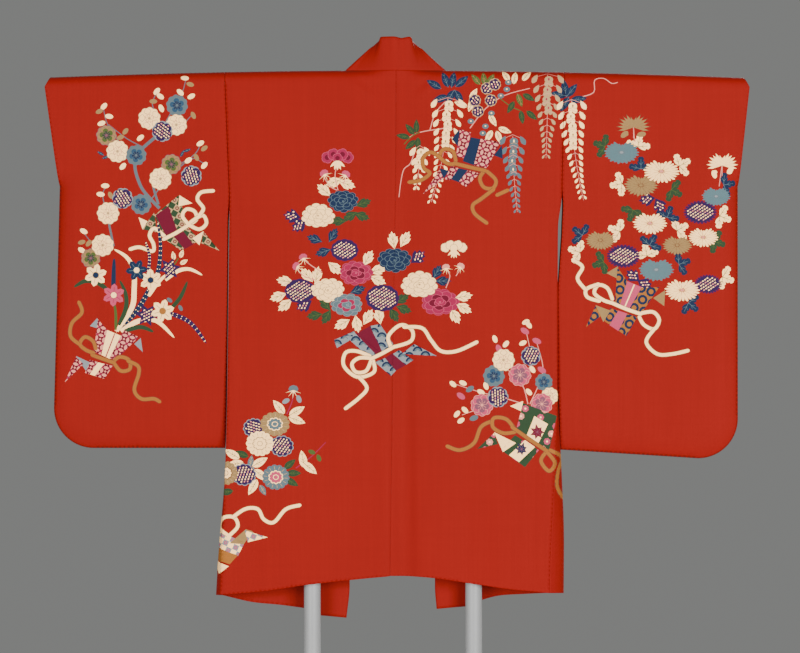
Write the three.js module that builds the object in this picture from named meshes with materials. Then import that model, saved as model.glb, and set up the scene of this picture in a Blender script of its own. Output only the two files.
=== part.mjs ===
// A silk haori, the open kimono jacket, hung out on a two-post display stand.
//
// Millimetres, +Z up, +X to the right when the back of the jacket is seen, and -Y on the side of
// that back. The origin is the centre of the underside of the stand's base plate. "left" and
// "right" are the wearer's, so the left sleeve lies towards -X.
//
// The jacket is cut as the real one is: two body lengths that each run from the back hem over the
// shoulder to the front hem, two bag sleeves folded over at the shoulder, two side gussets and one
// long collar. Each is a cloth wall of its own, a seam's width from its neighbours.
import * as THREE from "three";

// ---- Driving sizes ----
const CLOTH = 1.6; // thickness of the lined silk
const COLLAR_CLOTH = 2.4; // the collar is folded double
const SEAM = 0.3; // clearance between two pieces at a seam

const BAR_RADIUS = 16;
const BAR_HALF = 617; // half the length of the crossbar
const BAR_HEIGHT = 1404.5; // axis of the crossbar above the floor, at its middle
const BAR_DROOP = 12.5; // how much lower its ends are
const POST_RADIUS = 15;
const POST_X = 146;
const BASE = { width: 560, depth: 340, height: 8, corner: 40, bevel: 1.5 };

const CLOTH_RADIUS = BAR_RADIUS + SEAM + 0.4 + CLOTH / 2; // mid-line of the cloth over the crossbar
const COLLAR_WIDTH = 60.5;
const NECK_RISE = 17; // the back neckline above the axis of the crossbar
const NECK_LEAN = 2; // and how far it stands out behind it
const ARMHOLE_DEPTH = 188; // crossbar's axis to the bottom of the armhole
const ARMHOLE_FOOT = BAR_HEIGHT - ARMHOLE_DEPTH;
const ARMHOLE_PINCH = 2.8; // how much the cloth closes in at the bottom of the armhole

// ---- Edges of the body lengths ----
const HEM = 480; // about where the hem hangs
// Down the back, at a height z: the centre seam, the side seams and the outline of the gussets.
const BACK_EDGES = [
  { z: 470, centre: -5.5, leftSide: -311, rightSide: 281, leftOutline: -320, rightOutline: 309 },
  { z: 560, centre: -4.5, leftSide: -308, rightSide: 284, leftOutline: -315, rightOutline: 309 },
  { z: 700, centre: -2.5, leftSide: -302, rightSide: 291, leftOutline: -303, rightOutline: 304 },
  { z: 820, centre: -1, leftSide: -299, rightSide: 296, leftOutline: -296, rightOutline: 298 },
  { z: 1000, centre: 1.5, leftSide: -297, rightSide: 297, leftOutline: -292, rightOutline: 293 },
  { z: 1140, centre: 3.5, leftSide: -295.5, rightSide: 298, leftOutline: -290, rightOutline: 293 },
  { z: 1190, centre: 4, leftSide: -295, rightSide: 304.4, leftOutline: -290, rightOutline: 299 },
  { z: 1216, centre: 4.5, leftSide: -296, rightSide: 305, leftOutline: -291, rightOutline: 300 },
  { z: 1420, centre: 5.5, leftSide: -304, rightSide: 309.5, leftOutline: -300, rightOutline: 301 },
];
// The back hem, at a share of the way from the centre seam to the side seam.
const BACK_HEM = [
  { share: 0, left: 510.5, right: 511 },
  { share: 0.25, left: 503, right: 508 },
  { share: 0.5, left: 494.5, right: 497.5 },
  { share: 0.75, left: 483.5, right: 487 },
  { share: 1, left: 477, right: 480 },
];
// The front hem, at a share of the way from the collar seam to the side seam.
const FRONT_HEM = [
  { share: 0, left: 443.5, right: 453 },
  { share: 0.35, left: 450.5, right: 467 },
  { share: 0.7, left: 458, right: 472 },
  { share: 1, left: 470, right: 474 },
];
const NECK_X = { left: -86, right: 95 }; // where the neckline crosses the shoulder
// The seam between the front and the collar, at a drop below the shoulder.
const FRONT_EDGE = [
  { drop: 0, left: -87, right: 96 },
  { drop: 60, left: -102, right: 106 },
  { drop: 120, left: -118, right: 118 },
  { drop: 190, left: -131, right: 129 },
  { drop: 280, left: -137, right: 135 },
  { drop: 600, left: -138, right: 136 },
  { drop: 1000, left: -140, right: 137 },
];
// How far the cloth stands from the plane of the crossbar's axis, at a drop below it.
const HANG = [
  { drop: 0, back: 0, front: 0, side: 0 },
  { drop: 188, back: 1.5, front: 1.5, side: -ARMHOLE_PINCH },
  { drop: 300, back: 2.5, front: 3, side: -2 },
  { drop: 500, back: 5, front: 6, side: 2 },
  { drop: 700, back: 8.5, front: 10, side: 8 },
  { drop: 940, back: 12.5, front: 16, side: 13.5 },
];
// Soft upright folds of the back and the fronts: where their middles are at the hem and at the
// shoulder, how wide they are, how far they stand out, and the drop where they start.
const FOLDS = [
  { face: "back", hemX: 22, topX: 20, width: 20, out: -7, starts: 60 },
  { face: "back", hemX: -14, topX: -8, width: 16, out: 2.5, starts: 60 },
  { face: "back", hemX: 84, topX: 80, width: 42, out: 3.5, starts: 200 },
  { face: "back", hemX: -210, topX: -190, width: 60, out: 3, starts: 250 },
  { face: "back", hemX: 215, topX: 235, width: 40, out: 3, starts: 300 },
  { face: "front", hemX: -205, topX: -180, width: 34, out: 7, starts: 120 },
  { face: "front", hemX: -262, topX: -240, width: 26, out: -5, starts: 260 },
  { face: "front", hemX: 196, topX: 175, width: 34, out: 7, starts: 120 },
  { face: "front", hemX: 252, topX: 240, width: 26, out: -5, starts: 260 },
];

// ---- Sleeves ----
const SLEEVES = {
  left: {
    side: -1,
    bottomInner: { x: -303.5, z: 739.5 },
    corner: { x: -541.5, z: 811.5, radius: 72 },
    seamTop: { x: -603, z: 1213 }, // the bottom of the cuff opening
    cuffTop: -628,
    // How far the free edge stands off the body's side seam.
    freeEdge: [
      { z: 736, off: 2.5 },
      { z: 900, off: 2.5 },
      { z: 1140, off: 2.8 },
      { z: 1216, off: SEAM },
      { z: 1420, off: SEAM },
    ],
  },
  right: {
    side: 1,
    bottomInner: { x: 303, z: 736.5 },
    corner: { x: 552.2, z: 792.8, radius: 72 },
    seamTop: { x: 624, z: 1213 },
    cuffTop: 643,
    freeEdge: [
      { z: 736, off: 10.5 },
      { z: 900, off: 6.5 },
      { z: 1140, off: 7.5 },
      { z: 1216, off: SEAM },
      { z: 1420, off: SEAM },
    ],
  },
};
const SLEEVE_WIDTH = 320;
const SLEEVE_DROP = 665;
const SLEEVE_HALF_DEPTH = 8; // half the depth of a sleeve towards its bottom
const SEAM_ROUNDING = 16; // how far from a sewn edge the two layers have parted
const CUFF_ROUNDING = 9; // the corner at the top of the cuff

// ---- Collar ----
// From the middle of the back neck round one side and down to the hem: where the band is sewn on,
// as a place on the neckline, a turn over the shoulder or a drop down the front, and which way it
// stands from there, inwards, forwards and up.
const COLLAR_BAND = [
  { neck: 0.28, inward: 0.03, forward: -0.04, up: 1 },
  { neck: 0.6, inward: 0.42, forward: -0.02, up: 0.9 },
  { neck: 0.85, inward: 0.64, forward: 0.02, up: 0.77 },
  { turn: 90, inward: 0.74, forward: 0.04, up: 0.67 },
  { turn: 112, inward: 0.75, forward: 0.08, up: 0.66 },
  { turn: 135, inward: 0.76, forward: 0.12, up: 0.64 },
  { turn: 158, inward: 0.77, forward: 0.16, up: 0.62 },
  { turn: 180, inward: 0.78, forward: 0.2, up: 0.6 },
  { drop: 25, inward: 0.8, forward: 0.18, up: 0.56 },
  { drop: 60, inward: 0.86, forward: 0.14, up: 0.48 },
  { drop: 110, inward: 0.93, forward: 0.1, up: 0.34 },
  { drop: 170, inward: 0.98, forward: 0.08, up: 0.16 },
  { drop: 250, inward: 1, forward: 0.06, up: 0.03 },
  { drop: 400, inward: 1, forward: 0.05, up: 0 },
  { drop: 600, inward: 1, forward: 0.05, up: 0 },
  { drop: 800, inward: 1, forward: 0.06, up: 0 },
  { drop: 920, inward: 1, forward: 0.06, up: 0 },
  { drop: "hem", inward: 1, forward: 0.06, up: 0 },
];
const COLLAR_BOTTOM = {
  left: { sewn: 433.5, folded: 428, width: 55 },
  right: { sewn: 449.5, folded: 444, width: 57.5 },
};
const COLLAR_CREASE = { x: 9, width: 9, depth: 3 }; // the dent in the back of the collar
const COLLAR_STAND_OFF = 1.5; // from the cut edge that the band is sewn to

// ---- Small mathematics ----
const mix = (a, b, t) => a + (b - a) * t;
const clamp = (t, low = 0, high = 1) => Math.min(high, Math.max(low, t));
const ease = (t) => clamp(t) ** 2 * (3 - 2 * clamp(t));
const bell = (t) => Math.exp(-t * t);
const radians = (degrees) => (degrees * Math.PI) / 180;

// The value of a column of a table at a place, on a smooth curve through its rows.
function read(table, key, at, column) {
  const last = table.length - 1;
  let i = 0;
  while (i < last - 1 && at > table[i + 1][key]) i++;
  const [a, b] = [table[i], table[i + 1]];
  const [before, after] = [table[Math.max(i - 1, 0)], table[Math.min(i + 2, last)]];
  const span = b[key] - a[key];
  const t = clamp((at - a[key]) / span);
  const slope = (p, q) => (q === p ? 0 : ((q[column] - p[column]) / (q[key] - p[key])) * span);
  const [rise, startSlope, endSlope] = [b[column] - a[column], slope(before, b), slope(a, after)];
  const flat = (s) => (s * rise <= 0 ? 0 : Math.sign(rise) * Math.min(Math.abs(s), 3 * Math.abs(rise)));
  const [s0, s1] = [flat(startSlope), flat(endSlope)];
  const t2 = t * t;
  const t3 = t2 * t;
  return (
    a[column] + rise * (3 * t2 - 2 * t3) + s0 * (t3 - 2 * t2 + t) + s1 * (t3 - t2)
  );
}

const barHeight = (x) => BAR_HEIGHT - BAR_DROOP * (x / BAR_HALF) ** 2;
const sideOf = (name) => (name === "left" ? -1 : 1);

// ---- The hanging body cloth ----
const centreSeam = (z) => read(BACK_EDGES, "z", z, "centre");
const sideSeam = (z, name) => read(BACK_EDGES, "z", z, name + "Side");
const frontSeam = (drop, name) => read(FRONT_EDGE, "drop", drop, name);

// How far out of the crossbar's plane the body cloth hangs at (x, z), on its back or its front.
function depthOf(x, z, face) {
  const drop = barHeight(x) - z;
  if (drop <= 0) return CLOTH_RADIUS;
  const name = x < centreSeam(z) ? "left" : "right";
  const seam = Math.abs(sideSeam(z, name));
  const towardsSide = ease((Math.abs(x) - seam + 95) / 95);
  let out = mix(read(HANG, "drop", drop, face), read(HANG, "drop", drop, "side"), towardsSide);
  for (const fold of FOLDS) {
    if (fold.face !== face) continue;
    const fall = drop / BAR_HEIGHT;
    const middle = mix(fold.topX, fold.hemX, clamp(fall * 1.5));
    const grown = ease((drop - fold.starts) / 500);
    out += fold.out * grown * bell((x - middle) / fold.width) * (1 - towardsSide);
  }
  return CLOTH_RADIUS + out;
}

// A point of a body length: skin is how far it lies outside the cloth's mid-line. The section goes
// up the back, over the shoulder by a turn from 0 to 180 degrees, and down the front.
const backPoint = (x, z, skin) => new THREE.Vector3(x, -depthOf(x, z, "back") - skin, z);
const frontPoint = (x, z, skin) => new THREE.Vector3(x, depthOf(x, z, "front") + skin, z);
function shoulderPoint(x, turn, skin) {
  const r = CLOTH_RADIUS + skin;
  const angle = radians(turn);
  return new THREE.Vector3(x, -r * Math.cos(angle), barHeight(x) + r * Math.sin(angle));
}
// Between the centre seam and the neck's corner the back doesn't turn over, and stands up instead.
function neckPoint(x, turn, skin, share) {
  const up = turn / 90;
  const standing = new THREE.Vector3(
    x,
    -CLOTH_RADIUS - skin - NECK_LEAN * up,
    barHeight(x) + NECK_RISE * up,
  );
  return standing.lerp(shoulderPoint(x, turn, skin), ease(share));
}

// ---- Walls ----
// A closed wall over a grid of cells. point(i, j, skin) gives the outer face's points for the
// outward skin and the inner face's for the inward one; keep(i, j) says which cells there are, and
// in a ring the last row of cells joins the first.
function wall({ columns, rows, ring = false, keep = () => true, point, thickness }) {
  const rowPoints = ring ? rows : rows + 1;
  const stride = rowPoints * (columns + 1);
  const place = (i, j, face) => face * stride + i * rowPoints + (j % rowPoints);
  const positions = [];
  for (const skin of [thickness / 2, -thickness / 2])
    for (let i = 0; i <= columns; i++)
      for (let j = 0; j < rowPoints; j++) positions.push(...point(i, j, skin).toArray());
  const kept = (i, j) => {
    const row = ring ? (j + rows) % rows : j;
    return i >= 0 && i < columns && row >= 0 && row < rows && keep(i, row);
  };
  const index = [];
  const quad = (a, b, c, d) => index.push(a, b, c, a, c, d);
  for (let i = 0; i < columns; i++)
    for (let j = 0; j < rows; j++) {
      if (!kept(i, j)) continue;
      quad(place(i, j, 0), place(i + 1, j, 0), place(i + 1, j + 1, 0), place(i, j + 1, 0));
      quad(place(i, j, 1), place(i, j + 1, 1), place(i + 1, j + 1, 1), place(i + 1, j, 1));
      const rim = (i0, j0, i1, j1) =>
        quad(place(i1, j1, 0), place(i0, j0, 0), place(i0, j0, 1), place(i1, j1, 1));
      if (!kept(i, j - 1)) rim(i, j, i + 1, j);
      if (!kept(i + 1, j)) rim(i + 1, j, i + 1, j + 1);
      if (!kept(i, j + 1)) rim(i + 1, j + 1, i, j + 1);
      if (!kept(i - 1, j)) rim(i, j + 1, i, j);
    }
  return closed(positions, index);
}

// A geometry from points and faces, without the points that no face uses, and facing out.
function closed(positions, index) {
  const used = new Map();
  const points = [];
  const faces = index.map((old) => {
    if (!used.has(old)) {
      used.set(old, points.length / 3);
      points.push(positions[3 * old], positions[3 * old + 1], positions[3 * old + 2]);
    }
    return used.get(old);
  });
  const corner = (k) => new THREE.Vector3().fromArray(points, 3 * faces[k]);
  let volume = 0;
  for (let k = 0; k < faces.length; k += 3)
    volume += corner(k).dot(corner(k + 1).cross(corner(k + 2))) / 6;
  if (volume < 0)
    for (let k = 0; k < faces.length; k += 3)
      [faces[k + 1], faces[k + 2]] = [faces[k + 2], faces[k + 1]];
  const geometry = new THREE.BufferGeometry();
  geometry.setAttribute("position", new THREE.Float32BufferAttribute(points, 3));
  geometry.setIndex(faces);
  geometry.computeVertexNormals();
  return geometry;
}

// ---- Body lengths ----
const NECK_COLUMNS = 4;
const BODY_COLUMNS = 11;
const SKIRT_ROWS = 12; // from the hem to the bottom of the armhole
const HANG_ROWS = 16; // and on to the shoulder
const TURN_ROWS = 8;

function bodyLength(name) {
  const side = sideOf(name);
  const seamGap = (side * SEAM) / 2;
  const turnStart = HANG_ROWS;
  const turnEnd = HANG_ROWS + TURN_ROWS;
  const neckRow = HANG_ROWS + TURN_ROWS / 2;
  // How far column i is across the neck part, and across the part beyond the neck's corner.
  const across = (i) => [
    clamp(i / NECK_COLUMNS),
    clamp((i - NECK_COLUMNS) / (BODY_COLUMNS - NECK_COLUMNS)),
  ];
  const columnX = (i, inner, corner, outer) => {
    const [neck, beyond] = across(i);
    return i <= NECK_COLUMNS ? mix(inner, corner, neck) : mix(corner, outer, beyond);
  };
  const backX = (i, z) => columnX(i, centreSeam(z) + seamGap, NECK_X[name], sideSeam(z, name));
  // The height of row j above a hem: even below the bottom of the armhole, and even above it.
  const rowHeight = (j, hem, top) =>
    j <= SKIRT_ROWS
      ? mix(hem, ARMHOLE_FOOT, j / SKIRT_ROWS)
      : mix(ARMHOLE_FOOT, top, (j - SKIRT_ROWS) / (HANG_ROWS - SKIRT_ROWS));
  const point = (i, j, skin) => {
    if (j <= turnStart) {
      const hemShare = (backX(i, HEM) - centreSeam(HEM)) / (sideSeam(HEM, name) - centreSeam(HEM));
      const hem = read(BACK_HEM, "share", hemShare, name);
      const z = rowHeight(j, hem, barHeight(backX(i, BAR_HEIGHT)));
      return backPoint(backX(i, z), z, skin);
    }
    if (j <= turnEnd) {
      const turn = (180 * (j - turnStart)) / TURN_ROWS;
      const x = backX(i, BAR_HEIGHT);
      if (i <= NECK_COLUMNS) return neckPoint(x, Math.min(turn, 90), skin, i / NECK_COLUMNS);
      return shoulderPoint(x, turn, skin);
    }
    const [, beyond] = across(i);
    const top = barHeight(backX(i, BAR_HEIGHT));
    const z = rowHeight(2 * HANG_ROWS + TURN_ROWS - j, read(FRONT_HEM, "share", beyond, name), top);
    const x = mix(frontSeam(top - z, name), sideSeam(z, name), beyond);
    return frontPoint(x, z, skin);
  };
  const cornerTurn = (i, j, skin) => {
    if (i !== NECK_COLUMNS || j <= neckRow || j > turnEnd) return point(i, j, skin);
    const turn = (180 * (j - turnStart)) / TURN_ROWS;
    return shoulderPoint(mix(NECK_X[name], frontSeam(0, name), (turn - 90) / 90), turn, skin);
  };
  return wall({
    columns: BODY_COLUMNS,
    rows: 2 * HANG_ROWS + TURN_ROWS,
    keep: (i, j) => i >= NECK_COLUMNS || j < neckRow,
    point: cornerTurn,
    thickness: CLOTH,
  });
}

// ---- Gussets ----
const GUSSET_COLUMNS = 5;
const GUSSET_ROWS = 12;
const GUSSET_TOP = ARMHOLE_FOOT - 14;

// The long wedge let in between the back and the front below the armhole, bowed out at its foot.
function gusset(name) {
  const side = sideOf(name);
  const [backFoot, frontFoot] = [BACK_HEM, FRONT_HEM].map((hem) => hem.at(-1)[name]);
  const point = (i, j, skin) => {
    const foot = mix(backFoot, frontFoot, i / GUSSET_COLUMNS);
    const z = mix(foot, GUSSET_TOP, j / GUSSET_ROWS);
    const seam = sideSeam(z, name) - side * 2 * SEAM;
    const middle = read(BACK_EDGES, "z", z, name + "Outline") - (side * CLOTH) / 2;
    const half = depthOf(sideSeam(z, name), z, "back") - CLOTH - SEAM;
    const t = (2 * i) / GUSSET_COLUMNS - 1;
    const bow = middle - seam;
    const x = seam + bow * (1 - t * t);
    const slope = (-2 * bow * t) / half;
    const outward = new THREE.Vector3(side, -side * slope, 0).normalize();
    return new THREE.Vector3(x, t * half, z).addScaledVector(outward, skin);
  };
  return wall({ columns: GUSSET_COLUMNS, rows: GUSSET_ROWS, point, thickness: CLOTH });
}

// ---- Sleeves ----
const SLEEVE_RINGS = { bottom: 8, corner: 6, seam: 4 };
const LAYER_SHARES = [0, 0.008, 0.032, 0.09, 0.2, 0.36, 0.54, 0.7256, 0.8, 0.87, 0.94, 1];

// The foot of each ring: along the bottom, round the corner and up the side to the cuff.
function sleeveFeet({ side, bottomInner, corner, seamTop }) {
  const feet = [];
  const cornerStart = { x: corner.x, z: corner.z - corner.radius };
  for (let k = 0; k < SLEEVE_RINGS.bottom; k++) {
    const t = k / SLEEVE_RINGS.bottom;
    feet.push({ x: mix(bottomInner.x, cornerStart.x, t), z: mix(bottomInner.z, cornerStart.z, t) });
  }
  for (let k = 0; k < SLEEVE_RINGS.corner; k++) {
    const angle = radians((90 * k) / SLEEVE_RINGS.corner);
    feet.push({
      x: corner.x + side * corner.radius * Math.sin(angle),
      z: corner.z - corner.radius * Math.cos(angle),
    });
  }
  for (let k = 0; k <= SLEEVE_RINGS.seam; k++) {
    const t = k / SLEEVE_RINGS.seam;
    feet.push({ x: mix(corner.x + side * corner.radius, seamTop.x, t), z: mix(corner.z, seamTop.z, t) });
  }
  return feet;
}

function sleeve(name) {
  const cut = SLEEVES[name];
  const { side } = cut;
  const feet = sleeveFeet(cut);
  const last = feet.length - 1;
  const shares = LAYER_SHARES.length - 1;
  const rows = 2 * shares + TURN_ROWS;
  const innerTop = sideSeam(BAR_HEIGHT, name) + side * SEAM;

  // The place across and up of a point of the layer, and how far it is from the sewn edges.
  const layerPlace = (i, share, raised) => {
    const along = (i / last) ** 2;
    const foot = feet[i];
    const topX = mix(innerTop, cut.cuffTop, along);
    const top = barHeight(topX);
    const length = Math.hypot(topX - foot.x, top - foot.z);
    const t = mix(raised / length, 1, share);
    const z = mix(foot.z, top, t);
    const straight = mix(cut.bottomInner.x, innerTop, (z - cut.bottomInner.z) / (top - cut.bottomInner.z));
    const edge = sideSeam(z, name) + side * read(cut.freeEdge, "z", z, "off");
    const edgeShift = (edge - straight) * (1 - i / last) ** 4;
    const x = mix(foot.x, topX, t) + edgeShift;
    const across = clamp((side * (x - sideSeam(z, name))) / SLEEVE_WIDTH);
    return { x, z, sewn: t * length, across, top };
  };
  // Half the depth of the sleeve there: it narrows evenly downwards, and meets the armhole.
  const halfDepth = ({ z, sewn, across, top }, share) => {
    const drop = top - z;
    const hanging = mix(CLOTH_RADIUS, SLEEVE_HALF_DEPTH, drop / SLEEVE_DROP);
    const armhole = CLOTH_RADIUS + read(HANG, "drop", clamp(drop, 0, ARMHOLE_DEPTH), "side");
    const half = mix(hanging, Math.min(armhole, hanging), (1 - across) ** 4);
    const rounding = share < 1 ? 1 - Math.exp(-sewn / SEAM_ROUNDING) : 1;
    return Math.max(half * rounding, CLOTH / 2 + SEAM);
  };
  const point = (i, j, skin) => {
    const onBack = j <= shares;
    const onFront = j >= shares + TURN_ROWS;
    if (!onBack && !onFront) {
      const turn = (180 * (j - shares)) / TURN_ROWS;
      const { x } = layerPlace(i, 1, 0);
      const rounded = CUFF_ROUNDING * Math.sin(radians(turn)) * (i / last) ** 12;
      return shoulderPoint(x - side * rounded, turn, skin);
    }
    const layer = onBack ? j : rows - j;
    const share = LAYER_SHARES[layer];
    const raised = skin < 0 ? 2 * CLOTH : 0;
    const place = layerPlace(i, share, raised);
    const depth = layer === 0 ? 0 : halfDepth(place, share) + skin;
    return new THREE.Vector3(place.x, onBack ? -depth : depth, place.z);
  };
  return wall({ columns: last, rows, ring: true, point, thickness: CLOTH });
}

// ---- Collar ----
const BAND_COLUMNS = 4;

// The stations of one half of the collar, from the back neck to the hem: the sewn edge's point on
// the body's mid-line and the way in which the band stands from it.
function collarStations(name) {
  const side = sideOf(name);
  return COLLAR_BAND.map(({ neck, turn, drop, inward, forward, up }) => {
    const stand = new THREE.Vector3(-side * inward, forward, up).normalize();
    if (neck !== undefined) {
      const x = mix(centreSeam(BAR_HEIGHT), NECK_X[name], neck);
      return { sewn: neckPoint(x, 90, 0, neck), stand };
    }
    if (turn !== undefined) {
      const x = mix(NECK_X[name], frontSeam(0, name), (turn - 90) / 90);
      return { sewn: shoulderPoint(x, turn, 0), stand };
    }
    const top = barHeight(frontSeam(0, name));
    const bottom = COLLAR_BOTTOM[name];
    const fall = drop === "hem" ? top - bottom.sewn : drop;
    const x = frontSeam(fall, name);
    const sewn = frontPoint(x, top - fall, 0);
    if (drop === "hem") {
      stand.x *= bottom.width / COLLAR_WIDTH;
      stand.z = (bottom.folded - bottom.sewn) / COLLAR_WIDTH;
    }
    return { sewn, stand };
  });
}

function collar() {
  const middle = {
    sewn: neckPoint(centreSeam(BAR_HEIGHT), 90, 0, 0),
    stand: new THREE.Vector3(0, -0.04, 1).normalize(),
  };
  const stations = [...collarStations("left").reverse(), middle, ...collarStations("right")];
  const last = stations.length - 1;
  const midPoint = (i, j) => {
    const { sewn, stand } = stations[clamp(i, 0, last)];
    const across = clamp(j / BAND_COLUMNS);
    const p = sewn.clone().addScaledVector(stand, mix(COLLAR_STAND_OFF, COLLAR_WIDTH, across));
    const standing = clamp(stand.z);
    p.y += COLLAR_CREASE.depth * across * standing * bell((p.x - COLLAR_CREASE.x) / COLLAR_CREASE.width);
    return p;
  };
  const point = (i, j, skin) => {
    const along = midPoint(i + 1, j).sub(midPoint(i - 1, j));
    const across = midPoint(i, Math.min(j + 1, BAND_COLUMNS)).sub(midPoint(i, Math.max(j - 1, 0)));
    const outward = along.cross(across).normalize();
    return midPoint(i, j).addScaledVector(outward, skin);
  };
  return wall({ columns: last, rows: BAND_COLUMNS, point, thickness: COLLAR_CLOTH });
}

// ---- Display stand ----
const BAR_SIDES = 24;
const BAR_STEPS = 16;
const POST_SIDES = 32;

function crossbar() {
  const positions = [];
  const index = [];
  for (let k = 0; k <= BAR_STEPS; k++) {
    const x = mix(-BAR_HALF, BAR_HALF, k / BAR_STEPS);
    for (let a = 0; a < BAR_SIDES; a++) {
      const angle = (2 * Math.PI * a) / BAR_SIDES;
      positions.push(x, BAR_RADIUS * Math.cos(angle), barHeight(x) + BAR_RADIUS * Math.sin(angle));
    }
  }
  for (let k = 0; k < BAR_STEPS; k++)
    for (let a = 0; a < BAR_SIDES; a++) {
      const b = (a + 1) % BAR_SIDES;
      const [p, q] = [k * BAR_SIDES, (k + 1) * BAR_SIDES];
      index.push(p + a, p + b, q + b, p + a, q + b, q + a);
    }
  for (let a = 1; a < BAR_SIDES - 1; a++) {
    const end = BAR_STEPS * BAR_SIDES;
    index.push(0, a + 1, a, end, end + a, end + a + 1);
  }
  return closed(positions, index);
}

function post() {
  const foot = BASE.height + SEAM;
  const head = barHeight(POST_X) - BAR_RADIUS - SEAM;
  const geometry = new THREE.CylinderGeometry(POST_RADIUS, POST_RADIUS, head - foot, POST_SIDES);
  return geometry.rotateX(Math.PI / 2).translate(0, 0, (head + foot) / 2);
}

function basePlate() {
  const { width, depth, height, corner, bevel } = BASE;
  const [x, y] = [width / 2 - bevel, depth / 2 - bevel];
  const r = corner - bevel;
  const outline = new THREE.Shape();
  outline.moveTo(-x + r, -y);
  outline.lineTo(x - r, -y).absarc(x - r, -y + r, r, -Math.PI / 2, 0);
  outline.lineTo(x, y - r).absarc(x - r, y - r, r, 0, Math.PI / 2);
  outline.lineTo(-x + r, y).absarc(-x + r, y - r, r, Math.PI / 2, Math.PI);
  outline.lineTo(-x, -y + r).absarc(-x + r, -y + r, r, Math.PI, 1.5 * Math.PI);
  const plate = new THREE.ExtrudeGeometry(outline, {
    depth: height - 2 * bevel,
    bevelEnabled: true,
    bevelThickness: bevel,
    bevelSize: bevel,
    bevelSegments: 1,
    curveSegments: 8,
  });
  return plate.translate(0, 0, bevel);
}

// ---- Assembly ----
const silk = new THREE.MeshStandardMaterial({ color: 0xb02a1b, roughness: 0.7, metalness: 0 });
const paint = new THREE.MeshStandardMaterial({ color: 0xb9b9b6, roughness: 0.45, metalness: 0.1 });

function piece(name, geometry, material) {
  const mesh = new THREE.Mesh(geometry, material);
  mesh.name = name;
  return mesh;
}

const jacket = new THREE.Group();
for (const name of ["left", "right"]) {
  jacket.add(piece("body_" + name, bodyLength(name), silk));
  jacket.add(piece("sleeve_" + name, sleeve(name), silk));
  jacket.add(piece("gusset_" + name, gusset(name), silk));
}
jacket.add(piece("collar", collar(), silk));

const stand = new THREE.Group();
stand.add(piece("base_plate", basePlate(), paint));
for (const name of ["left", "right"]) {
  const upright = piece("post_" + name, post(), paint);
  upright.position.x = sideOf(name) * POST_X;
  stand.add(upright);
}
stand.add(piece("crossbar", crossbar(), paint));

const model = new THREE.Group();
model.add(jacket, stand);

export default model;
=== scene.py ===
"""A silk haori hung on its display stand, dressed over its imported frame.

The jacket is crepe silk dyed vermilion, with bouquets of the four seasons in folded paper, tied with
cords. Lengths are in millimetres until a mesh is written, and the finished pieces are in metres. Seen
from the back of the jacket, x runs to the right, y away through the cloth and z up. A panel of cloth
is laid out flat as (x, v): v is the height above the rod's axis up the back, runs on over the rod and
comes down the front as it grows.
"""

from __future__ import annotations

import logging
import math
from dataclasses import dataclass, field
from enum import Enum
from typing import Callable, ClassVar, Iterable, NamedTuple, Sequence

import bmesh
import bpy
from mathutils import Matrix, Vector
from mathutils.geometry import delaunay_2d_cdt

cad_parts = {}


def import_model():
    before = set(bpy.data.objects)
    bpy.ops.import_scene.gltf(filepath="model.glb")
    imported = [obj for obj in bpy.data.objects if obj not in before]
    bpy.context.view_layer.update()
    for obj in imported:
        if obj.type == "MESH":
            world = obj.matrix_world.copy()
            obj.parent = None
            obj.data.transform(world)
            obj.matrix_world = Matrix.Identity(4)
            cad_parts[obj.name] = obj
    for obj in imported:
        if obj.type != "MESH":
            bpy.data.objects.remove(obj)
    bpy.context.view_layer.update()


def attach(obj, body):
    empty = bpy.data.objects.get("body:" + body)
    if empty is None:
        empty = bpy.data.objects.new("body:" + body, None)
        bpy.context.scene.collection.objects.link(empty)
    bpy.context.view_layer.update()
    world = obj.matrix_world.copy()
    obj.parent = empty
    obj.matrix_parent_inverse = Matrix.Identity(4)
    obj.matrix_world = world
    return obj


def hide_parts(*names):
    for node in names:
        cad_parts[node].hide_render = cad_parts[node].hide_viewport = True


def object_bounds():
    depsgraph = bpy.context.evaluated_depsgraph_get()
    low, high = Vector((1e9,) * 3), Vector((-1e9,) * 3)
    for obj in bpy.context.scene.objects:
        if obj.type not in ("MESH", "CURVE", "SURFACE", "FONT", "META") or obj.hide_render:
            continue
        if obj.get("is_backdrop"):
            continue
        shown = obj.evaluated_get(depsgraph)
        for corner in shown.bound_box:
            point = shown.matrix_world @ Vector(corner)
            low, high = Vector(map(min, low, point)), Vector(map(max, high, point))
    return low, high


LOG = logging.getLogger("haori")
METRE = 1000.0
Flat = tuple[float, float]

# ---------------------------------------------------------------- small mathematics


def mix(a: float, b: float, t: float) -> float:
    """Goes from a to b as t goes from 0 to 1."""
    return a + (b - a) * t


def clamp(t: float, low: float = 0.0, high: float = 1.0) -> float:
    """Keeps t between low and high."""
    return min(high, max(low, t))


def ease(t: float) -> float:
    """A soft step from 0 to 1."""
    t = clamp(t)
    return t * t * (3 - 2 * t)


def bell(t: float) -> float:
    """A soft bump of height 1 at 0."""
    return math.exp(-t * t)


def polar(radius: float, degrees: float) -> Flat:
    """The place at a distance from the middle, at an angle."""
    return radius * math.cos(math.radians(degrees)), radius * math.sin(math.radians(degrees))


def pairs(points: Sequence) -> Iterable[tuple]:
    """Each point with the next, round a closed outline."""
    return zip(points, [*points[1:], *points[:1]])


def steps(start: float, end: float, size: float) -> list[float]:
    """Even steps from start to just before end."""
    count = max(1, round(abs(end - start) / size))
    return [mix(start, end, k / count) for k in range(count)]


def stretch(a: Flat, b: Flat, size: float) -> list[Flat]:
    """Even points from a to just before b, in steps of a share of the way."""
    return [(mix(a[0], b[0], t), mix(a[1], b[1], t)) for t in steps(0, 1, size)]


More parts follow.
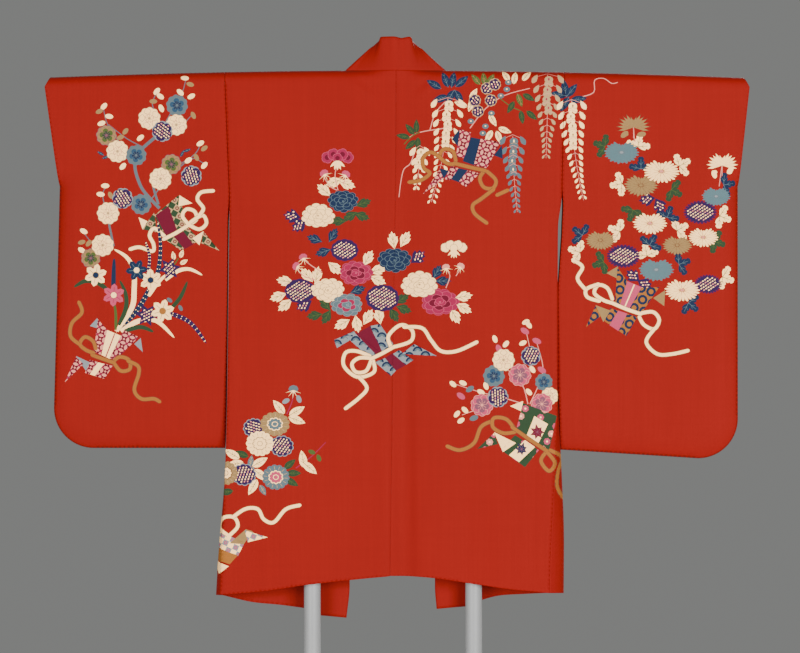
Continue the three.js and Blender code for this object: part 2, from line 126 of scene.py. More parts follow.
def distance(p: Flat, a: Flat, b: Flat) -> float:
    """The distance from p to the stretch from a to b."""
    dx, dy = b[0] - a[0], b[1] - a[1]
    square = dx * dx + dy * dy
    t = clamp(((p[0] - a[0]) * dx + (p[1] - a[1]) * dy) / square) if square else 0.0
    return math.hypot(p[0] - a[0] - t * dx, p[1] - a[1] - t * dy)


def inside(p: Flat, shape: Sequence[Flat]) -> bool:
    """Whether a point is inside a shape."""
    within = False
    for (ax, ay), (bx, by) in pairs(shape):
        if (ay > p[1]) != (by > p[1]) and p[0] < ax + (bx - ax) * (p[1] - ay) / (by - ay):
            within = not within
    return within


class Curve:
    """A smooth curve through the rows of a short table, flat where the table is."""

    def __init__(self, *rows: tuple[float, float]) -> None:
        """Works out the curve's slopes.

        Args:
            rows: pairs of a place and the value there, by rising place.
        """
        self.places = [row[0] for row in rows]
        self.values = [row[1] for row in rows]
        last = len(rows) - 1
        self.slopes = []
        for i in range(last + 1):
            a, b = max(i - 1, 0), min(i + 1, last)
            slope = (self.values[b] - self.values[a]) / (self.places[b] - self.places[a])
            for j in (i - 1, i):
                if 0 <= j < last:
                    rise = (self.values[j + 1] - self.values[j]) / (self.places[j + 1] - self.places[j])
                    limit = 3 * abs(rise)
                    slope = 0.0 if slope * rise <= 0 else math.copysign(min(abs(slope), limit), rise)
            self.slopes.append(slope)

    def __call__(self, at: float) -> float:
        """The curve's value at a place; beyond its ends it keeps their values."""
        at = clamp(at, self.places[0], self.places[-1])
        i = 0
        while i < len(self.places) - 2 and at > self.places[i + 1]:
            i += 1
        span = self.places[i + 1] - self.places[i]
        t = (at - self.places[i]) / span
        rise = self.values[i + 1] - self.values[i]
        t2, t3 = t * t, t * t * t
        return (
            self.values[i]
            + rise * (3 * t2 - 2 * t3)
            + span * (self.slopes[i] * (t3 - 2 * t2 + t) + self.slopes[i + 1] * (t3 - t2))
        )


# ---------------------------------------------------------------- how the jacket hangs


class Side(Enum):
    """The wearer's left and right; the left lies towards -x."""

    LEFT = -1
    RIGHT = 1

    @property
    def word(self) -> str:
        """The side's name in a piece's name."""
        return self.name.lower()


def by_side(left: object, right: object) -> dict:
    """A dataclass field with a value for each side."""
    return field(default_factory=lambda: {Side.LEFT: left, Side.RIGHT: right})


class Face(Enum):
    """Which face of the hanging body."""

    BACK = -1
    FRONT = 1


@dataclass(frozen=True)
class Fold:
    """A soft upright fold of a body panel, from the shoulder's place to the hem's."""

    face: Face
    hem_x: float
    top_x: float
    width: float
    out: float
    starts: float
    grows: float = 500.0


@dataclass(frozen=True)
class Crease:
    """A small crease in the cloth, from one flat point to another."""

    start: Flat
    end: Flat
    width: float
    out: float

    def height(self, x: float, v: float) -> float:
        """How far the cloth stands out at a flat point because of the crease."""
        (ax, av), (bx, bv) = self.start, self.end
        dx, dv = bx - ax, bv - av
        length = math.hypot(dx, dv)
        along = ((x - ax) * dx + (v - av) * dv) / (length * length)
        if not -0.2 < along < 1.2:
            return 0.0
        across = ((x - ax) * dv - (v - av) * dx) / length
        if abs(across) > 3 * self.width:
            return 0.0
        fade = ease((along + 0.2) / 0.45) * ease((1.2 - along) / 0.45)
        return self.out * fade * bell(across / self.width)


@dataclass(frozen=True)
class Hang:
    """The sizes of the hanging jacket, and where its cloth is."""

    cloth: float = 1.6
    collar_cloth: float = 2.4
    seam: float = 0.3
    centre_seam: float = 0.03
    bar_radius: float = 16.0
    bar_half: float = 617.0
    bar_height: float = 1404.5
    bar_droop: float = 12.5
    neck_rise: float = 17.0
    neck_lean: float = 2.0
    armhole_depth: float = 188.0
    rod_clearance: float = 0.4
    side_reach: float = 95.0
    centre: Curve = Curve(
        (470, -5.5), (560, -4.5), (700, -2.5), (820, -1), (1000, 1.5), (1216, 4.5), (1420, 5.5)
    )
    side: dict[Side, Curve] = by_side(
        Curve(
            (470, -311), (560, -308), (700, -302), (820, -299), (1000, -297), (1140, -295.5),
            (1190, -295), (1216, -296), (1420, -304),
        ),
        Curve(
            (470, 281), (560, 284), (700, 291), (820, 296), (1000, 297), (1140, 298),
            (1190, 304.4), (1216, 305), (1420, 309.5),
        ),
    )
    outline: dict[Side, Curve] = by_side(
        Curve((470, -320), (560, -315), (700, -303), (820, -296), (1000, -292), (1190, -290), (1420, -300)),
        Curve(
            (470, 309), (560, 309), (700, 304), (820, 298), (1000, 293), (1140, 293), (1190, 299), (1420, 301)
        ),
    )
    back_hem: dict[Side, Curve] = by_side(
        Curve((0, 510.5), (0.25, 503), (0.5, 494.5), (0.75, 483.5), (1, 477)),
        Curve((0, 511), (0.25, 508), (0.5, 497.5), (0.75, 487), (1, 480)),
    )
    front_hem: dict[Side, Curve] = by_side(
        Curve((0, 443.5), (0.35, 450.5), (0.7, 458), (1, 470)),
        Curve((0, 453), (0.35, 467), (0.7, 472), (1, 474)),
    )
    front_edge: dict[Side, Curve] = by_side(
        Curve((0, -87), (60, -102), (120, -118), (190, -131), (280, -137), (600, -138), (1000, -140)),
        Curve((0, 96), (60, 106), (120, 118), (190, 129), (280, 135), (600, 136), (1000, 137)),
    )
    neck_corner: dict[Side, float] = by_side(-86.0, 95.0)
    back_out: Curve = Curve((0, 0), (188, 1.5), (300, 2.5), (500, 5), (700, 8.5), (940, 12.5))
    front_out: Curve = Curve((0, 0), (188, 1.5), (300, 3), (500, 6), (700, 10), (940, 16))
    side_out: Curve = Curve((0, 0), (188, -2.8), (300, -2), (500, 2), (700, 8), (940, 13.5))
    folds: tuple[Fold, ...] = (
        Fold(Face.BACK, 22, 20, 20, -7, 60),
        Fold(Face.BACK, -14, -8, 16, 2.5, 60),
        Fold(Face.BACK, 84, 80, 42, 3.5, 200),
        Fold(Face.BACK, -210, -190, 60, 3, 250),
        Fold(Face.BACK, 215, 235, 40, 3, 300),
        Fold(Face.FRONT, -205, -180, 34, 7, 120),
        Fold(Face.FRONT, -262, -240, 26, -5, 260),
        Fold(Face.FRONT, 196, 175, 34, 7, 120),
        Fold(Face.FRONT, 252, 240, 26, -5, 260),
    )
    creases: tuple[Crease, ...] = (
        Crease((-64, 4), (-32, -23), 3.6, -1.5),
        Crease((-72, -6), (-40, -31), 5.0, 2.4),
        Crease((66, 4), (38, -23), 3.6, -1.5),
        Crease((74, -6), (46, -31), 5.0, 2.4),
        Crease((-286, -190), (-262, -330), 7.0, -1.6),
        Crease((-288, -215), (-270, -660), 9.0, -1.2),
        Crease((291, -180), (288, -560), 7.0, -3.0),
        Crease((286, -420), (268, -760), 8.0, 1.2),
        Crease((-18, -280), (-26, -640), 6.0, 0.7),
        Crease((14, -120), (12, -420), 5.0, -0.8),
        Crease((38, -360), (46, -880), 8.0, 1.3),
        Crease((-120, -500), (-132, -900), 11.0, 0.9),
        Crease((-72, -620), (-80, -905), 8.0, -0.8),
        Crease((128, -560), (136, -900), 10.0, -0.9),
        Crease((180, -640), (190, -915), 9.0, 0.9),
        Crease((-240, -700), (-252, -920), 9.0, -0.9),
        Crease((246, -650), (250, -915), 8.0, -0.8),
    )

    @property
    def radius(self) -> float:
        """The radius of the cloth's middle over the rod."""
        return self.bar_radius + self.seam + self.rod_clearance + self.cloth / 2

    @property
    def turn_length(self) -> float:
        """The length of cloth that lies over the rod, from the back to the front."""
        return math.pi * self.radius

    @property
    def armhole_foot(self) -> float:
        """The height of the bottom of the armhole."""
        return self.bar_height - self.armhole_depth

    def droop(self, x: float) -> float:
        """How much lower than its middle the rod is at x."""
        return self.bar_droop * (x / self.bar_half) ** 2

    def bar(self, x: float) -> float:
        """The height of the rod's axis at x."""
        return self.bar_height - self.droop(x)

    def depth(self, x: float, drop: float, face: Face) -> float:
        """How far from the rod's plane the middle of the body's cloth hangs.

        Args:
            x: the place across.
            drop: how far below the rod's axis.
            face: the back or the front.

        Returns:
            The distance, in millimetres.
        """
        z = self.bar(x) - drop
        side = Side.LEFT if x < self.centre(z) else Side.RIGHT
        towards_side = ease(1 + (abs(x) - abs(self.side[side](z))) / self.side_reach)
        panel = self.back_out if face is Face.BACK else self.front_out
        out = mix(panel(drop), self.side_out(drop), towards_side)
        for fold in self.folds:
            if fold.face is face:
                middle = mix(fold.top_x, fold.hem_x, clamp(1.5 * drop / self.bar_height))
                grown = ease((drop - fold.starts) / fold.grows)
                out += fold.out * grown * bell((x - middle) / fold.width) * (1 - towards_side)
        return self.radius + out

    def over_rod(self, x: float, turn: float, skin: float) -> Vector:
        """A point of the cloth over the rod, turned from the back (0) to the front (pi)."""
        r = self.radius + skin
        return Vector((x, -r * math.cos(turn), self.bar(x) + r * math.sin(turn)))


# ---------------------------------------------------------------- dyes and sketches


class Dye(Enum):
    """The colours of the dyed design, as display red, green and blue."""

    SCARLET = (116, 13, 7)
    CREAM = (255, 203, 132)
    BLUSH = (196, 120, 104)
    PINK = (160, 56, 80)
    ROSE = (126, 22, 54)
    WINE = (84, 10, 30)
    SAND = (156, 124, 86)
    TAN = (126, 98, 59)
    MAUVE = (104, 60, 73)
    OCHRE = (134, 81, 30)
    SKY = (70, 92, 96)
    SLATE = (72, 86, 90)
    STEEL = (36, 60, 80)
    NAVY = (18, 31, 54)
    INDIGO = (36, 18, 56)
    PURPLE = (52, 14, 56)
    MOSS = (60, 73, 32)
    PINE = (34, 52, 32)
    DOVE = (108, 113, 114)
    BARK = (76, 84, 88)
    BROWN = (92, 56, 36)

    @property
    def linear(self) -> tuple[float, float, float, float]:
        """The dye's linear colour, opaque."""
        parts = []
        for byte in self.value:
            c = byte / 255
            parts.append(c / 12.92 if c <= 0.04045 else ((c + 0.055) / 1.055) ** 2.4)
        return (parts[0], parts[1], parts[2], 1.0)


def counter_clockwise(points: list) -> list:
    """The points of a flat outline, in counter-clockwise order."""
    turning = sum(a[0] * b[1] - b[0] * a[1] for a, b in pairs(points))
    return points if turning >= 0 else points[::-1]


class Sketch:
    """Shapes of dye laid out flat, the later over the earlier."""

    def __init__(self, droop: Callable[[float], float]) -> None:
        """Starts an empty sketch.

        Args:
            droop: how much lower the rod is at x, which the design follows.
        """
        self.droop = droop
        self.shapes: list[tuple[list[Flat], Dye]] = []

    def add(self, points: Iterable[Flat], dye: Dye) -> None:
        """Lays a filled shape on the cloth."""
        self.shapes.append((counter_clockwise([(x, v + self.droop(x)) for x, v in points]), dye))


def clip(shape: Sequence[Flat], window: Sequence[Flat]) -> list[Flat]:
    """The part of a shape inside a convex window whose corners run counter-clockwise."""
    kept = list(shape)
    for (ax, ay), (bx, by) in pairs(window):
        source, kept = kept, []
        for (px, py), (qx, qy) in pairs(source):
            p = (bx - ax) * (py - ay) - (by - ay) * (px - ax)
            q = (bx - ax) * (qy - ay) - (by - ay) * (qx - ax)
            if p >= 0:
                kept.append((px, py))
            if (p > 0 > q) or (p < 0 < q):
                t = p / (p - q)
                kept.append((px + (qx - px) * t, py + (qy - py) * t))
        if len(kept) < 3:
            return []
    return kept


def spline(a: float, b: float, c: float, d: float, t: float) -> float:
    """A share t of the way from b to c on the smooth curve through four even steps."""
    return 0.5 * (2 * b + (c - a) * t + (2 * a - 5 * b + 4 * c - d) * t * t + (3 * b - a - 3 * c + d) * t**3)


def smooth_path(points: Sequence[Flat], cells: int = 5) -> list[Flat]:
    """Points on a smooth curve through the given ones, with cells between each and the next."""
    held = [points[0], *points, points[-1]]
    path: list[Flat] = []
    for a, b, c, d in zip(held, held[1:], held[2:], held[3:]):
        for k in range(cells):
            path.append(tuple(spline(a[n], b[n], c[n], d[n], k / cells) for n in (0, 1)))
    path.append(points[-1])
    return path


def lobed(count: int, radius: float, depth: float) -> Callable[[float], float]:
    """The outline of a flower of round petals, cut in by a share of its radius between them."""
    return lambda angle: radius * (1 - depth + depth * abs(math.cos(math.radians(angle * count / 2))) ** 0.55)


def ringed(radius: Callable[[float], float], count: int = 40) -> list[Flat]:
    """The points of an outline given by its distance from the middle at each angle."""
    return [polar(radius(360 * k / count), 360 * k / count) for k in range(count)]


@dataclass(frozen=True)
class Brush:
    """A painter's brush at a place on the sketch, turned and scaled."""

    sketch: Sketch
    x: float = 0.0
    y: float = 0.0
    turn: float = 0.0
    size: float = 1.0
    press: float = 1.0

    def at(self, x: float, y: float, turn: float = 0.0, size: float = 1.0, press: float = 1.0) -> Brush:
        """The brush moved, turned counter-clockwise by degrees, scaled, and pressed flatter in height."""
        px, py = self.to((x, y))
        return Brush(self.sketch, px, py, self.turn + turn, self.size * size, self.press * press)

    def to(self, point: Flat) -> Flat:
        """A point of the brush's own drawing, on the sketch."""
        a = math.radians(self.turn)
        x, y = point[0] * self.size, point[1] * self.size
        across, up = x * math.cos(a) - y * math.sin(a), x * math.sin(a) + y * math.cos(a)
        return self.x + across, self.y + self.press * up

    def fill(self, points: Iterable[Flat], dye: Dye) -> None:
        """Fills a shape."""
        self.sketch.add([self.to(p) for p in points], dye)

    def disc(self, x: float, y: float, radius: float, dye: Dye, sides: int = 9, squash: float = 1.0) -> None:
        """Fills a disc or an upright oval."""
        around = (polar(radius, 360 * k / sides) for k in range(sides))
        self.fill([(x + across, y + squash * up) for across, up in around], dye)

    def stroke(self, points: Sequence[Flat], width: float, dye: Dye, tip: float = 1.0) -> None:
        """Draws a line of straight cells along points.

        Args:
            points: the line's middle.
            width: its width at its start.
            dye: its colour.
            tip: its width at its end, as a share of its start's.
        """
        last = len(points) - 1
        sides = []
        for i, (x, y) in enumerate(points):
            (ax, ay), (bx, by) = points[max(i - 1, 0)], points[min(i + 1, last)]
            length = math.hypot(bx - ax, by - ay) or 1.0
            half = 0.5 * width * mix(1.0, tip, i / last)
            nx, ny = -(by - ay) / length * half, (bx - ax) / length * half
            sides.append(((x + nx, y + ny), (x - nx, y - ny)))
        for (a, b), (c, d) in zip(sides, sides[1:]):
            self.fill([a, c, d, b], dye)

    def curve(self, points: Sequence[Flat], width: float, dye: Dye, tip: float = 1.0, cells: int = 5) -> None:
        """Draws a smooth line through points."""
        self.stroke(smooth_path(points, cells), width, dye, tip)

    def fan(self, radius: Callable[[float], float], dye: Dye, count: int = 40) -> None:
        """Fills the outline whose distance from the middle is a function of the angle in degrees."""
        self.fill(ringed(radius, count), dye)

    def edged(
        self, lobes: int, radius: float, depth: float, edge: float, rim: Dye, dye: Dye, count: int
    ) -> None:
        """Fills a lobed flower inside a drawn edge.

        Args:
            lobes: how many lobes it has.
            radius: its radius.
            depth: how far it is cut in between them, as a share of its radius.
            edge: the width of its edge.
            rim: the dye of its edge.
            dye: the dye within.
            count: how many points its outline has.
        """
        self.fan(lobed(lobes, radius, depth), rim, count)
        self.fan(lobed(lobes, radius - edge, depth), dye, count)

    def rays(
        self,
        count: int,
        start: float,
        end: float,
        width: float,
        dye: Dye,
        tip: float = 1.0,
        turn: float = 0.0,
    ) -> None:
        """Draws even rays about the brush's place, from one distance out to another."""
        for k in range(count):
            self.at(0, 0, 360 * k / count + turn).stroke([(start, 0), (end, 0)], width, dye, tip)


# ---------------------------------------------------------------- flowers, leaves, cords and papers


class Bloom(NamedTuple):
    """The dyes of a flower: its petals, their drawn lines, its heart and the shade about the heart."""

    petals: Dye
    lines: Dye
    heart: Dye
    shade: Dye = Dye.CREAM


CREAM_PLUM = Bloom(Dye.CREAM, Dye.SAND, Dye.BLUSH)
BLUE_PLUM = Bloom(Dye.SLATE, Dye.BARK, Dye.NAVY, Dye.STEEL)
TAN_PLUM = Bloom(Dye.TAN, Dye.MAUVE, Dye.PINE, Dye.MOSS)
PINK_PLUM = Bloom(Dye.PINK, Dye.BLUSH, Dye.MAUVE, Dye.MAUVE)
CREAM_PEONY = Bloom(Dye.CREAM, Dye.SAND, Dye.CREAM)
NAVY_PEONY = Bloom(Dye.NAVY, Dye.SLATE, Dye.NAVY)
PINK_PEONY = Bloom(Dye.ROSE, Dye.PINK, Dye.WINE)
GREY_PEONY = Bloom(Dye.SLATE, Dye.DOVE, Dye.ROSE)
CREAM_MUM = Bloom(Dye.CREAM, Dye.SCARLET, Dye.BLUSH)
SKY_MUM = Bloom(Dye.SKY, Dye.BARK, Dye.DOVE)
TAN_MUM = Bloom(Dye.TAN, Dye.BROWN, Dye.TAN)
WHITE_NARCISSUS = Bloom(Dye.CREAM, Dye.TAN, Dye.NAVY)
BLUE_NARCISSUS = Bloom(Dye.NAVY, Dye.SKY, Dye.CREAM)
PINK_NARCISSUS = Bloom(Dye.PINK, Dye.ROSE, Dye.CREAM)
TAN_NARCISSUS = Bloom(Dye.CREAM, Dye.TAN, Dye.OCHRE)


DAPPLE_PITCH = 2.7
DAPPLE_TILT = 34.0
DAPPLE_MARK = ((-0.31, -0.2), (0.31, -0.2), (0.31, 0.2), (-0.31, 0.2))
DAPPLE_REACH = 0.24


def dapple(brush: Brush, shape: Sequence[Flat], border: float) -> None:
    """Fills a shape with tie-dyed dapple: slanted rows of small cream marks on indigo.

    Args:
        brush: the brush that draws it.
        shape: its outline.
        border: the width of the plain edge.
    """
    brush.fill(shape, Dye.INDIGO)
    middle_x = sum(x for x, _ in shape) / len(shape)
    middle_y = sum(y for _, y in shape) / len(shape)
    spread = max(math.hypot(x - middle_x, y - middle_y) for x, y in shape)
    rows = int(spread / DAPPLE_PITCH / brush.press) + 2
    slant, rise = polar(DAPPLE_PITCH, DAPPLE_TILT)
    reach = border / DAPPLE_PITCH + DAPPLE_REACH

    def spot(i: float, j: float) -> Flat:
        """A place in the rows."""
        return middle_x + i * slant - j * rise, middle_y + (i * rise + j * slant) / brush.press

    for j in range(-rows, rows + 1):
        for i in range(-rows, rows + 1):
            shift = i + 0.5 * (j % 2)
            around = ((-reach, 0), (reach, 0), (0, -reach), (0, reach))
            if all(inside(spot(shift + a, j + b), shape) for a, b in around):
                dye = Dye.BLUSH if (i + j) % 4 == 0 else Dye.CREAM
                brush.fill([spot(shift + a, j + b) for a, b in DAPPLE_MARK], dye)


def plum(brush: Brush, radius: float, bloom: Bloom) -> None:
    """A double plum blossom, seen from the front."""
    brush.edged(10, radius, 0.17, 0.55, bloom.lines, bloom.petals, 50)
    for k in range(5):
        petal = brush.at(0, 0, 72 * k + 18)
        for way in (radius, -radius):
            petal.curve(
                [(0.86 * radius, 0.12 * way), (0.6 * radius, 0.3 * way), (0.36 * radius, 0)], 0.45,
                bloom.lines,
            )
    pale = bloom.heart is Dye.BLUSH
    if not pale:
        brush.fan(lobed(5, 0.66 * radius, 0.42), bloom.shade, 40)
    brush.edged(5, 0.4 * radius, 0.3, 0.5, bloom.heart, bloom.petals if pale else bloom.heart, 20)
    brush.rays(9, 0.08 * radius, 0.42 * radius, 0.35, bloom.lines)
    brush.disc(0, 0, 0.12 * radius, bloom.lines, 7)


def dappled_plum(brush: Brush, radius: float, rim: Dye = Dye.DOVE) -> None:
    """A plum blossom in dapple, on a pale edge."""
    brush.fan(lobed(10, radius, 0.08), rim, 40)
    dapple(brush.at(0, 0, 18), ringed(lobed(5, radius - 0.7, 0.22)), 0.8)


def dappled_round(brush: Brush, radius: float, rim: Dye, count: int, border: float) -> None:
    """A full round flower in dapple, its outline of count points inside a rim."""
    brush.fan(lobed(12, radius, 0.1), rim, count)
    dapple(brush, ringed(lobed(12, radius - 1, 0.1), count), border)


def peony(brush: Brush, radius: float, bloom: Bloom) -> None:
    """A full peony: ruffled petals, ring within ring."""
    for inset, depth, dye in ((0, 0.13, bloom.lines), (0.4, 0.14, bloom.petals)):
        ruffle = lobed(11, radius - inset, depth)
        brush.fan(lambda a: ruffle(a) * (1 + 0.04 * math.sin(math.radians(3 * a))), dye, 66)
    rings = ((0.56, 0.33, 7, bloom.petals), (0.32, 0.29, 5, bloom.heart), (0.1, 0.24, 3, bloom.petals))
    for share, size, count, dye in rings:
        for k in range(count):
            angle = 360 * k / count + 200 * share
            petal = brush.at(*polar(share * radius, angle), angle)
            petal.edged(3, size * radius, 0.1, 0.55, bloom.lines, dye, 15)
    brush.disc(0, 0, 0.07 * radius, bloom.lines, 6)


def side_peony(brush: Brush, width: float, bloom: Bloom) -> None:
    """A half-open peony seen from its side, with its sepals."""
    for x, y, r in (
        (-0.34, 0.06, 0.2), (0.34, 0.06, 0.2), (-0.14, 0.16, 0.2), (0.16, 0.16, 0.2), (0, 0.04, 0.17)
    ):
        petal = brush.at(x * width, y * width)
        petal.edged(5, r * width, 0.12, 0.5, bloom.lines, bloom.petals, 30)
        petal.fan(lobed(4, 0.45 * r * width, 0.1), bloom.heart, 16)
    for turn in (-140, -110, -90, -70, -40):
        leaf(brush.at(0, -0.05 * width, turn), 0.32 * width, 0.1 * width, Dye.CREAM, Dye.CREAM)


def small_bud(brush: Brush, radius: float, dye: Dye) -> None:
    """A round bud over a spray of narrow sepals."""
    brush.disc(0, 0, radius, dye, 8, 0.8)
    for turn in (-165, -130, -95, -60, -20):
        brush.at(0, -0.3 * radius, turn).fill([(0, -0.5), (1.7 * radius, 0), (0, 0.5)], Dye.CREAM)


def barb(petal: Brush, r: float, w: float, bloom: Bloom) -> None:
    """The dark point beyond a petal of length r and half width w, where the bloom has them."""
    if bloom.lines is Dye.BROWN:
        petal.fill([(0.7 * r, -w), (1.12 * r, 0), (0.7 * r, w)], Dye.BROWN)


def chrysanthemum(brush: Brush, radius: float, bloom: Bloom, petals: int = 25) -> None:
    """A chrysanthemum of narrow petals about its heart, parted at the top."""
    brush.fan(lambda a: radius * (0.86 - 0.32 * bell((a - 90) / 15)), bloom.lines, 40)
    spread = 2 * math.pi / petals
    for k in range(petals):
        angle = 360 * k / petals
        r = radius * (1 - 0.34 * bell((angle - 90) / 15)) * (1 - 0.07 * (k % 2))
        w = 0.35 * spread * r
        petal = brush.at(0, 0, angle)
        barb(petal, r, w, bloom)
        side = ((0.74 * r, w), (0.93 * r, 0.75 * w))
        petal.fill([(0.16 * r, 0), *[(x, -y) for x, y in side], (r, 0), *reversed(side)], bloom.petals)
        petal = petal.at(0, 0, 90 * spread)
        petal.fill([(0.1 * r, 0), (0.5 * r, -0.7 * w), (0.64 * r, 0), (0.5 * r, 0.7 * w)], bloom.petals)
    brush.rays(11, 0.14 * radius, 0.52 * radius, 0.4, bloom.lines, 0.5)
    brush.disc(0, 0, 0.11 * radius, bloom.heart, 7)


def side_chrysanthemum(brush: Brush, radius: float, bloom: Bloom) -> None:
    """A chrysanthemum seen from its side: a fan of petals on a short stem."""
    brush.stroke([(0, 0), (0, -0.7 * radius)], 0.6, Dye.BLUSH)
    w = 0.085 * radius
    for k in range(15):
        angle = -12 + 204 * k / 14
        spread = 0.75 + 0.25 * abs(math.cos(math.radians(angle))) + 0.06 * (k % 2)
        r = radius * (1 - 0.36 * bell((angle - 90) / 16)) * spread
        petal = brush.at(0, 0, angle)
        barb(petal, r, w, bloom)
        petal.fill([(0, 0), (0.7 * r, -w), (r, 0), (0.7 * r, w)], bloom.petals)
    for x in (-0.5, 0.5):
        brush.disc(x * radius, -0.45 * radius, 0.17 * radius, bloom.petals, 8, 0.8)


def dappled_chrysanthemum(brush: Brush, radius: float) -> None:
    """A chrysanthemum in dapple, with a dark fringe of petals."""
    side = ((0.5, -0.095), (0.92, -0.0855), (1, 0), (0.92, 0.0855), (0.5, 0.095))
    for k in range(26):
        brush.at(0, 0, 360 * k / 26).fill([(x * radius, y * radius) for x, y in side], Dye.PURPLE)
    dapple(brush, ringed(lobed(18, 0.84 * radius, 0.05), 54), 1.0)


def narcissus(brush: Brush, radius: float, bloom: Bloom) -> None:
    """A six-petalled narcissus with its cup."""
    side = ((0, 0), (0.45, -0.3), (0.8, -0.24), (1, 0), (0.8, 0.24), (0.45, 0.3))
    for k in range(6):
        brush.at(0, 0, 60 * k + 12).fill([(x * radius, y * radius) for x, y in side], bloom.petals)
    brush.rays(6, 0.3 * radius, 0.7 * radius, 0.5, bloom.lines, turn=12)
    brush.disc(0, 0, 0.3 * radius, bloom.lines, 10)
    brush.disc(0, 0, 0.3 * radius - 0.5, bloom.heart, 10)


def dappled_star(brush: Brush, radius: float) -> None:
    """A six-pointed flower in dapple."""
    dapple(brush, [polar(radius * (0.52 if k % 2 else 1), 30 * k) for k in range(12)], 0.8)


def rosette(brush: Brush, radius: float, outer: Dye, inner: Dye, teeth: Dye) -> None:
    """A broad rosette about a second flower."""
    brush.fan(lobed(14, radius, 0.09), outer, 56)
    brush.rays(14, 0.62 * radius, 0.86 * radius, 0.5, Dye.SAND)
    brush.edged(10, 0.55 * radius, 0.16, 0.08 * radius, teeth, inner, 40)
    brush.edged(6, 0.22 * radius, 0.2, 0.05 * radius, teeth, inner, 18)


def mirrored(side: Sequence[Flat], length: float, *tip: Flat) -> list[Flat]:
    """A leaf's outline from its root, along one side, over its tip and back along the other."""
    outline = [(0, 0), *side, *tip, *[(x, -y) for x, y in reversed(side)]]
    return [(x * length, y * length) for x, y in outline]


def leaf(
    brush: Brush, length: float, width: float, dye: Dye, vein: Dye = Dye.SAND, bend: float = 0.0
) -> None:
    """A pointed leaf along the brush, with its veins."""
    rib: list[Flat] = []
    halves = []
    for k in range(8):
        t = k / 7
        halves.append(0.5 * width * math.sin(math.pi * t**0.8) ** 0.85 if 0 < t < 1 else 0.0)
        rib.append((length * t, bend * length * t * t))
    upper = [(x, y + half) for (x, y), half in zip(rib, halves)]
    lower = [(x, y - half) for (x, y), half in zip(rib, halves)][6:0:-1]
    brush.fill([*upper, *lower], dye)
    if vein is dye:
        return
    brush.stroke(rib[:7], 0.55, vein, 0.5)
    for k in (2, 3, 5):
        (x, y), half = rib[k], halves[k]
        for way in (-1, 1):
            brush.stroke([(x, y), (x + 0.14 * length, y + way * 0.6 * half)], 0.4, vein, 0.6)


def peony_leaf(brush: Brush, length: float, dye: Dye, vein: Dye = Dye.MOSS) -> None:
    """A peony's leaf: broad, with pointed lobes."""
    side = ((0.2, 0.13), (0.42, 0.27), (0.68, 0.27), (0.64, 0.18), (0.86, 0.16), (0.84, 0.08))
    brush.fill(mirrored(side, length, (1, 0)), dye)
    brush.stroke([(0.05 * length, 0), (0.9 * length, 0)], 0.5, vein, 0.5)
    for x, y in ((0.52, 0.2), (0.76, 0.12)):
        for way in (-1, 1):
            brush.stroke([((x - 0.28) * length, 0), (x * length, way * y * length)], 0.4, vein, 0.6)


def dappled_leaf(brush: Brush, length: float) -> None:
    """A peony's leaf in dapple."""
    side = ((0.18, 0.14), (0.4, 0.34), (0.62, 0.4), (0.6, 0.22), (0.84, 0.24), (0.82, 0.1))
    dapple(brush, mirrored(side, length, (1, 0)), 0.7)


def mum_leaf(brush: Brush, length: float, dye: Dye, vein: Dye) -> None:
    """A chrysanthemum's leaf: three notched lobes about their veins."""
    side = ((0.1, 0.09), (0.24, 0.2), (0.42, 0.24), (0.5, 0.15), (0.62, 0.2), (0.74, 0.1))
    for turn in (-76, 76, 0):
        lobe = brush.at(0.24 * length, 0, turn)
        lobe.fill(mirrored(side, length), dye)
        lobe.stroke([(0, 0), (0.6 * length, 0)], 0.55, vein, 0.6)
        for way in (-1, 1):
            lobe.stroke([(0.24 * length, 0), (0.42 * length, way * 0.14 * length)], 0.4, vein, 0.6)


def raceme(
    brush: Brush, length: float, petals: Dye, eye: Dye, sway: float = 0.0, width: float = 13.0
) -> None:
    """A hanging wisteria flower: open florets above, and drops that grow smaller down its stem.

    Args:
        brush: the brush, at the top of the flower.
        length: how far it hangs.
        petals: the dye of its petals.
        eye: the dye of the marks on its open florets.
        sway: how far its tip swings aside, as a share of its length.
        width: how far its first drops reach aside.
    """

    def place(t: float) -> Flat:
        """A place on the stem."""
        return (sway * length * t * t, -length * t)

    brush.stroke([place(k / 8) for k in range(9)], 0.55, Dye.BLUSH, 0.6)
    t = 0.03
    while t < 1:
        x, y = place(t)
        size = mix(1.15, 0.45, t)
        for way in (-1, 1):
            reach = width * mix(0.86, 0.16, min(1, 1.25 * t))
            brush.stroke([(x, y + 3.5 * size), (x + way * reach, y)], 0.4, Dye.BLUSH)
            drop = brush.at(x + way * reach, y, -58 if way > 0 else -122, size)
            drop.fill(
                [(-2.8, 0), (0, 1.7), (3.2, 2.4), (5.4, 1.4), (6.6, 0), (5.4, -1.4), (3.2, -2.4), (0, -1.7)],
                petals,
            )
        if t < 0.42:
            floret = brush.at(x + 1.2 * math.sin(40 * t), y - 4, 0, mix(1.0, 0.7, t))
            floret.disc(0, 1.2, 4.4, petals, 11, 0.86)
            floret.disc(-2.3, -3.2, 2.4, petals, 8, 1.2)
            floret.disc(2.2, -3.4, 2.4, petals, 8, 1.2)
            floret.disc(0, 1.6, 0.9, eye, 6, 1.7)
            floret.stroke([(-3, -1.1), (0, -0.2), (3, -1.1)], 0.5, Dye.SAND)
        t += mix(10.5, 5.6, min(1, 1.4 * t)) / length


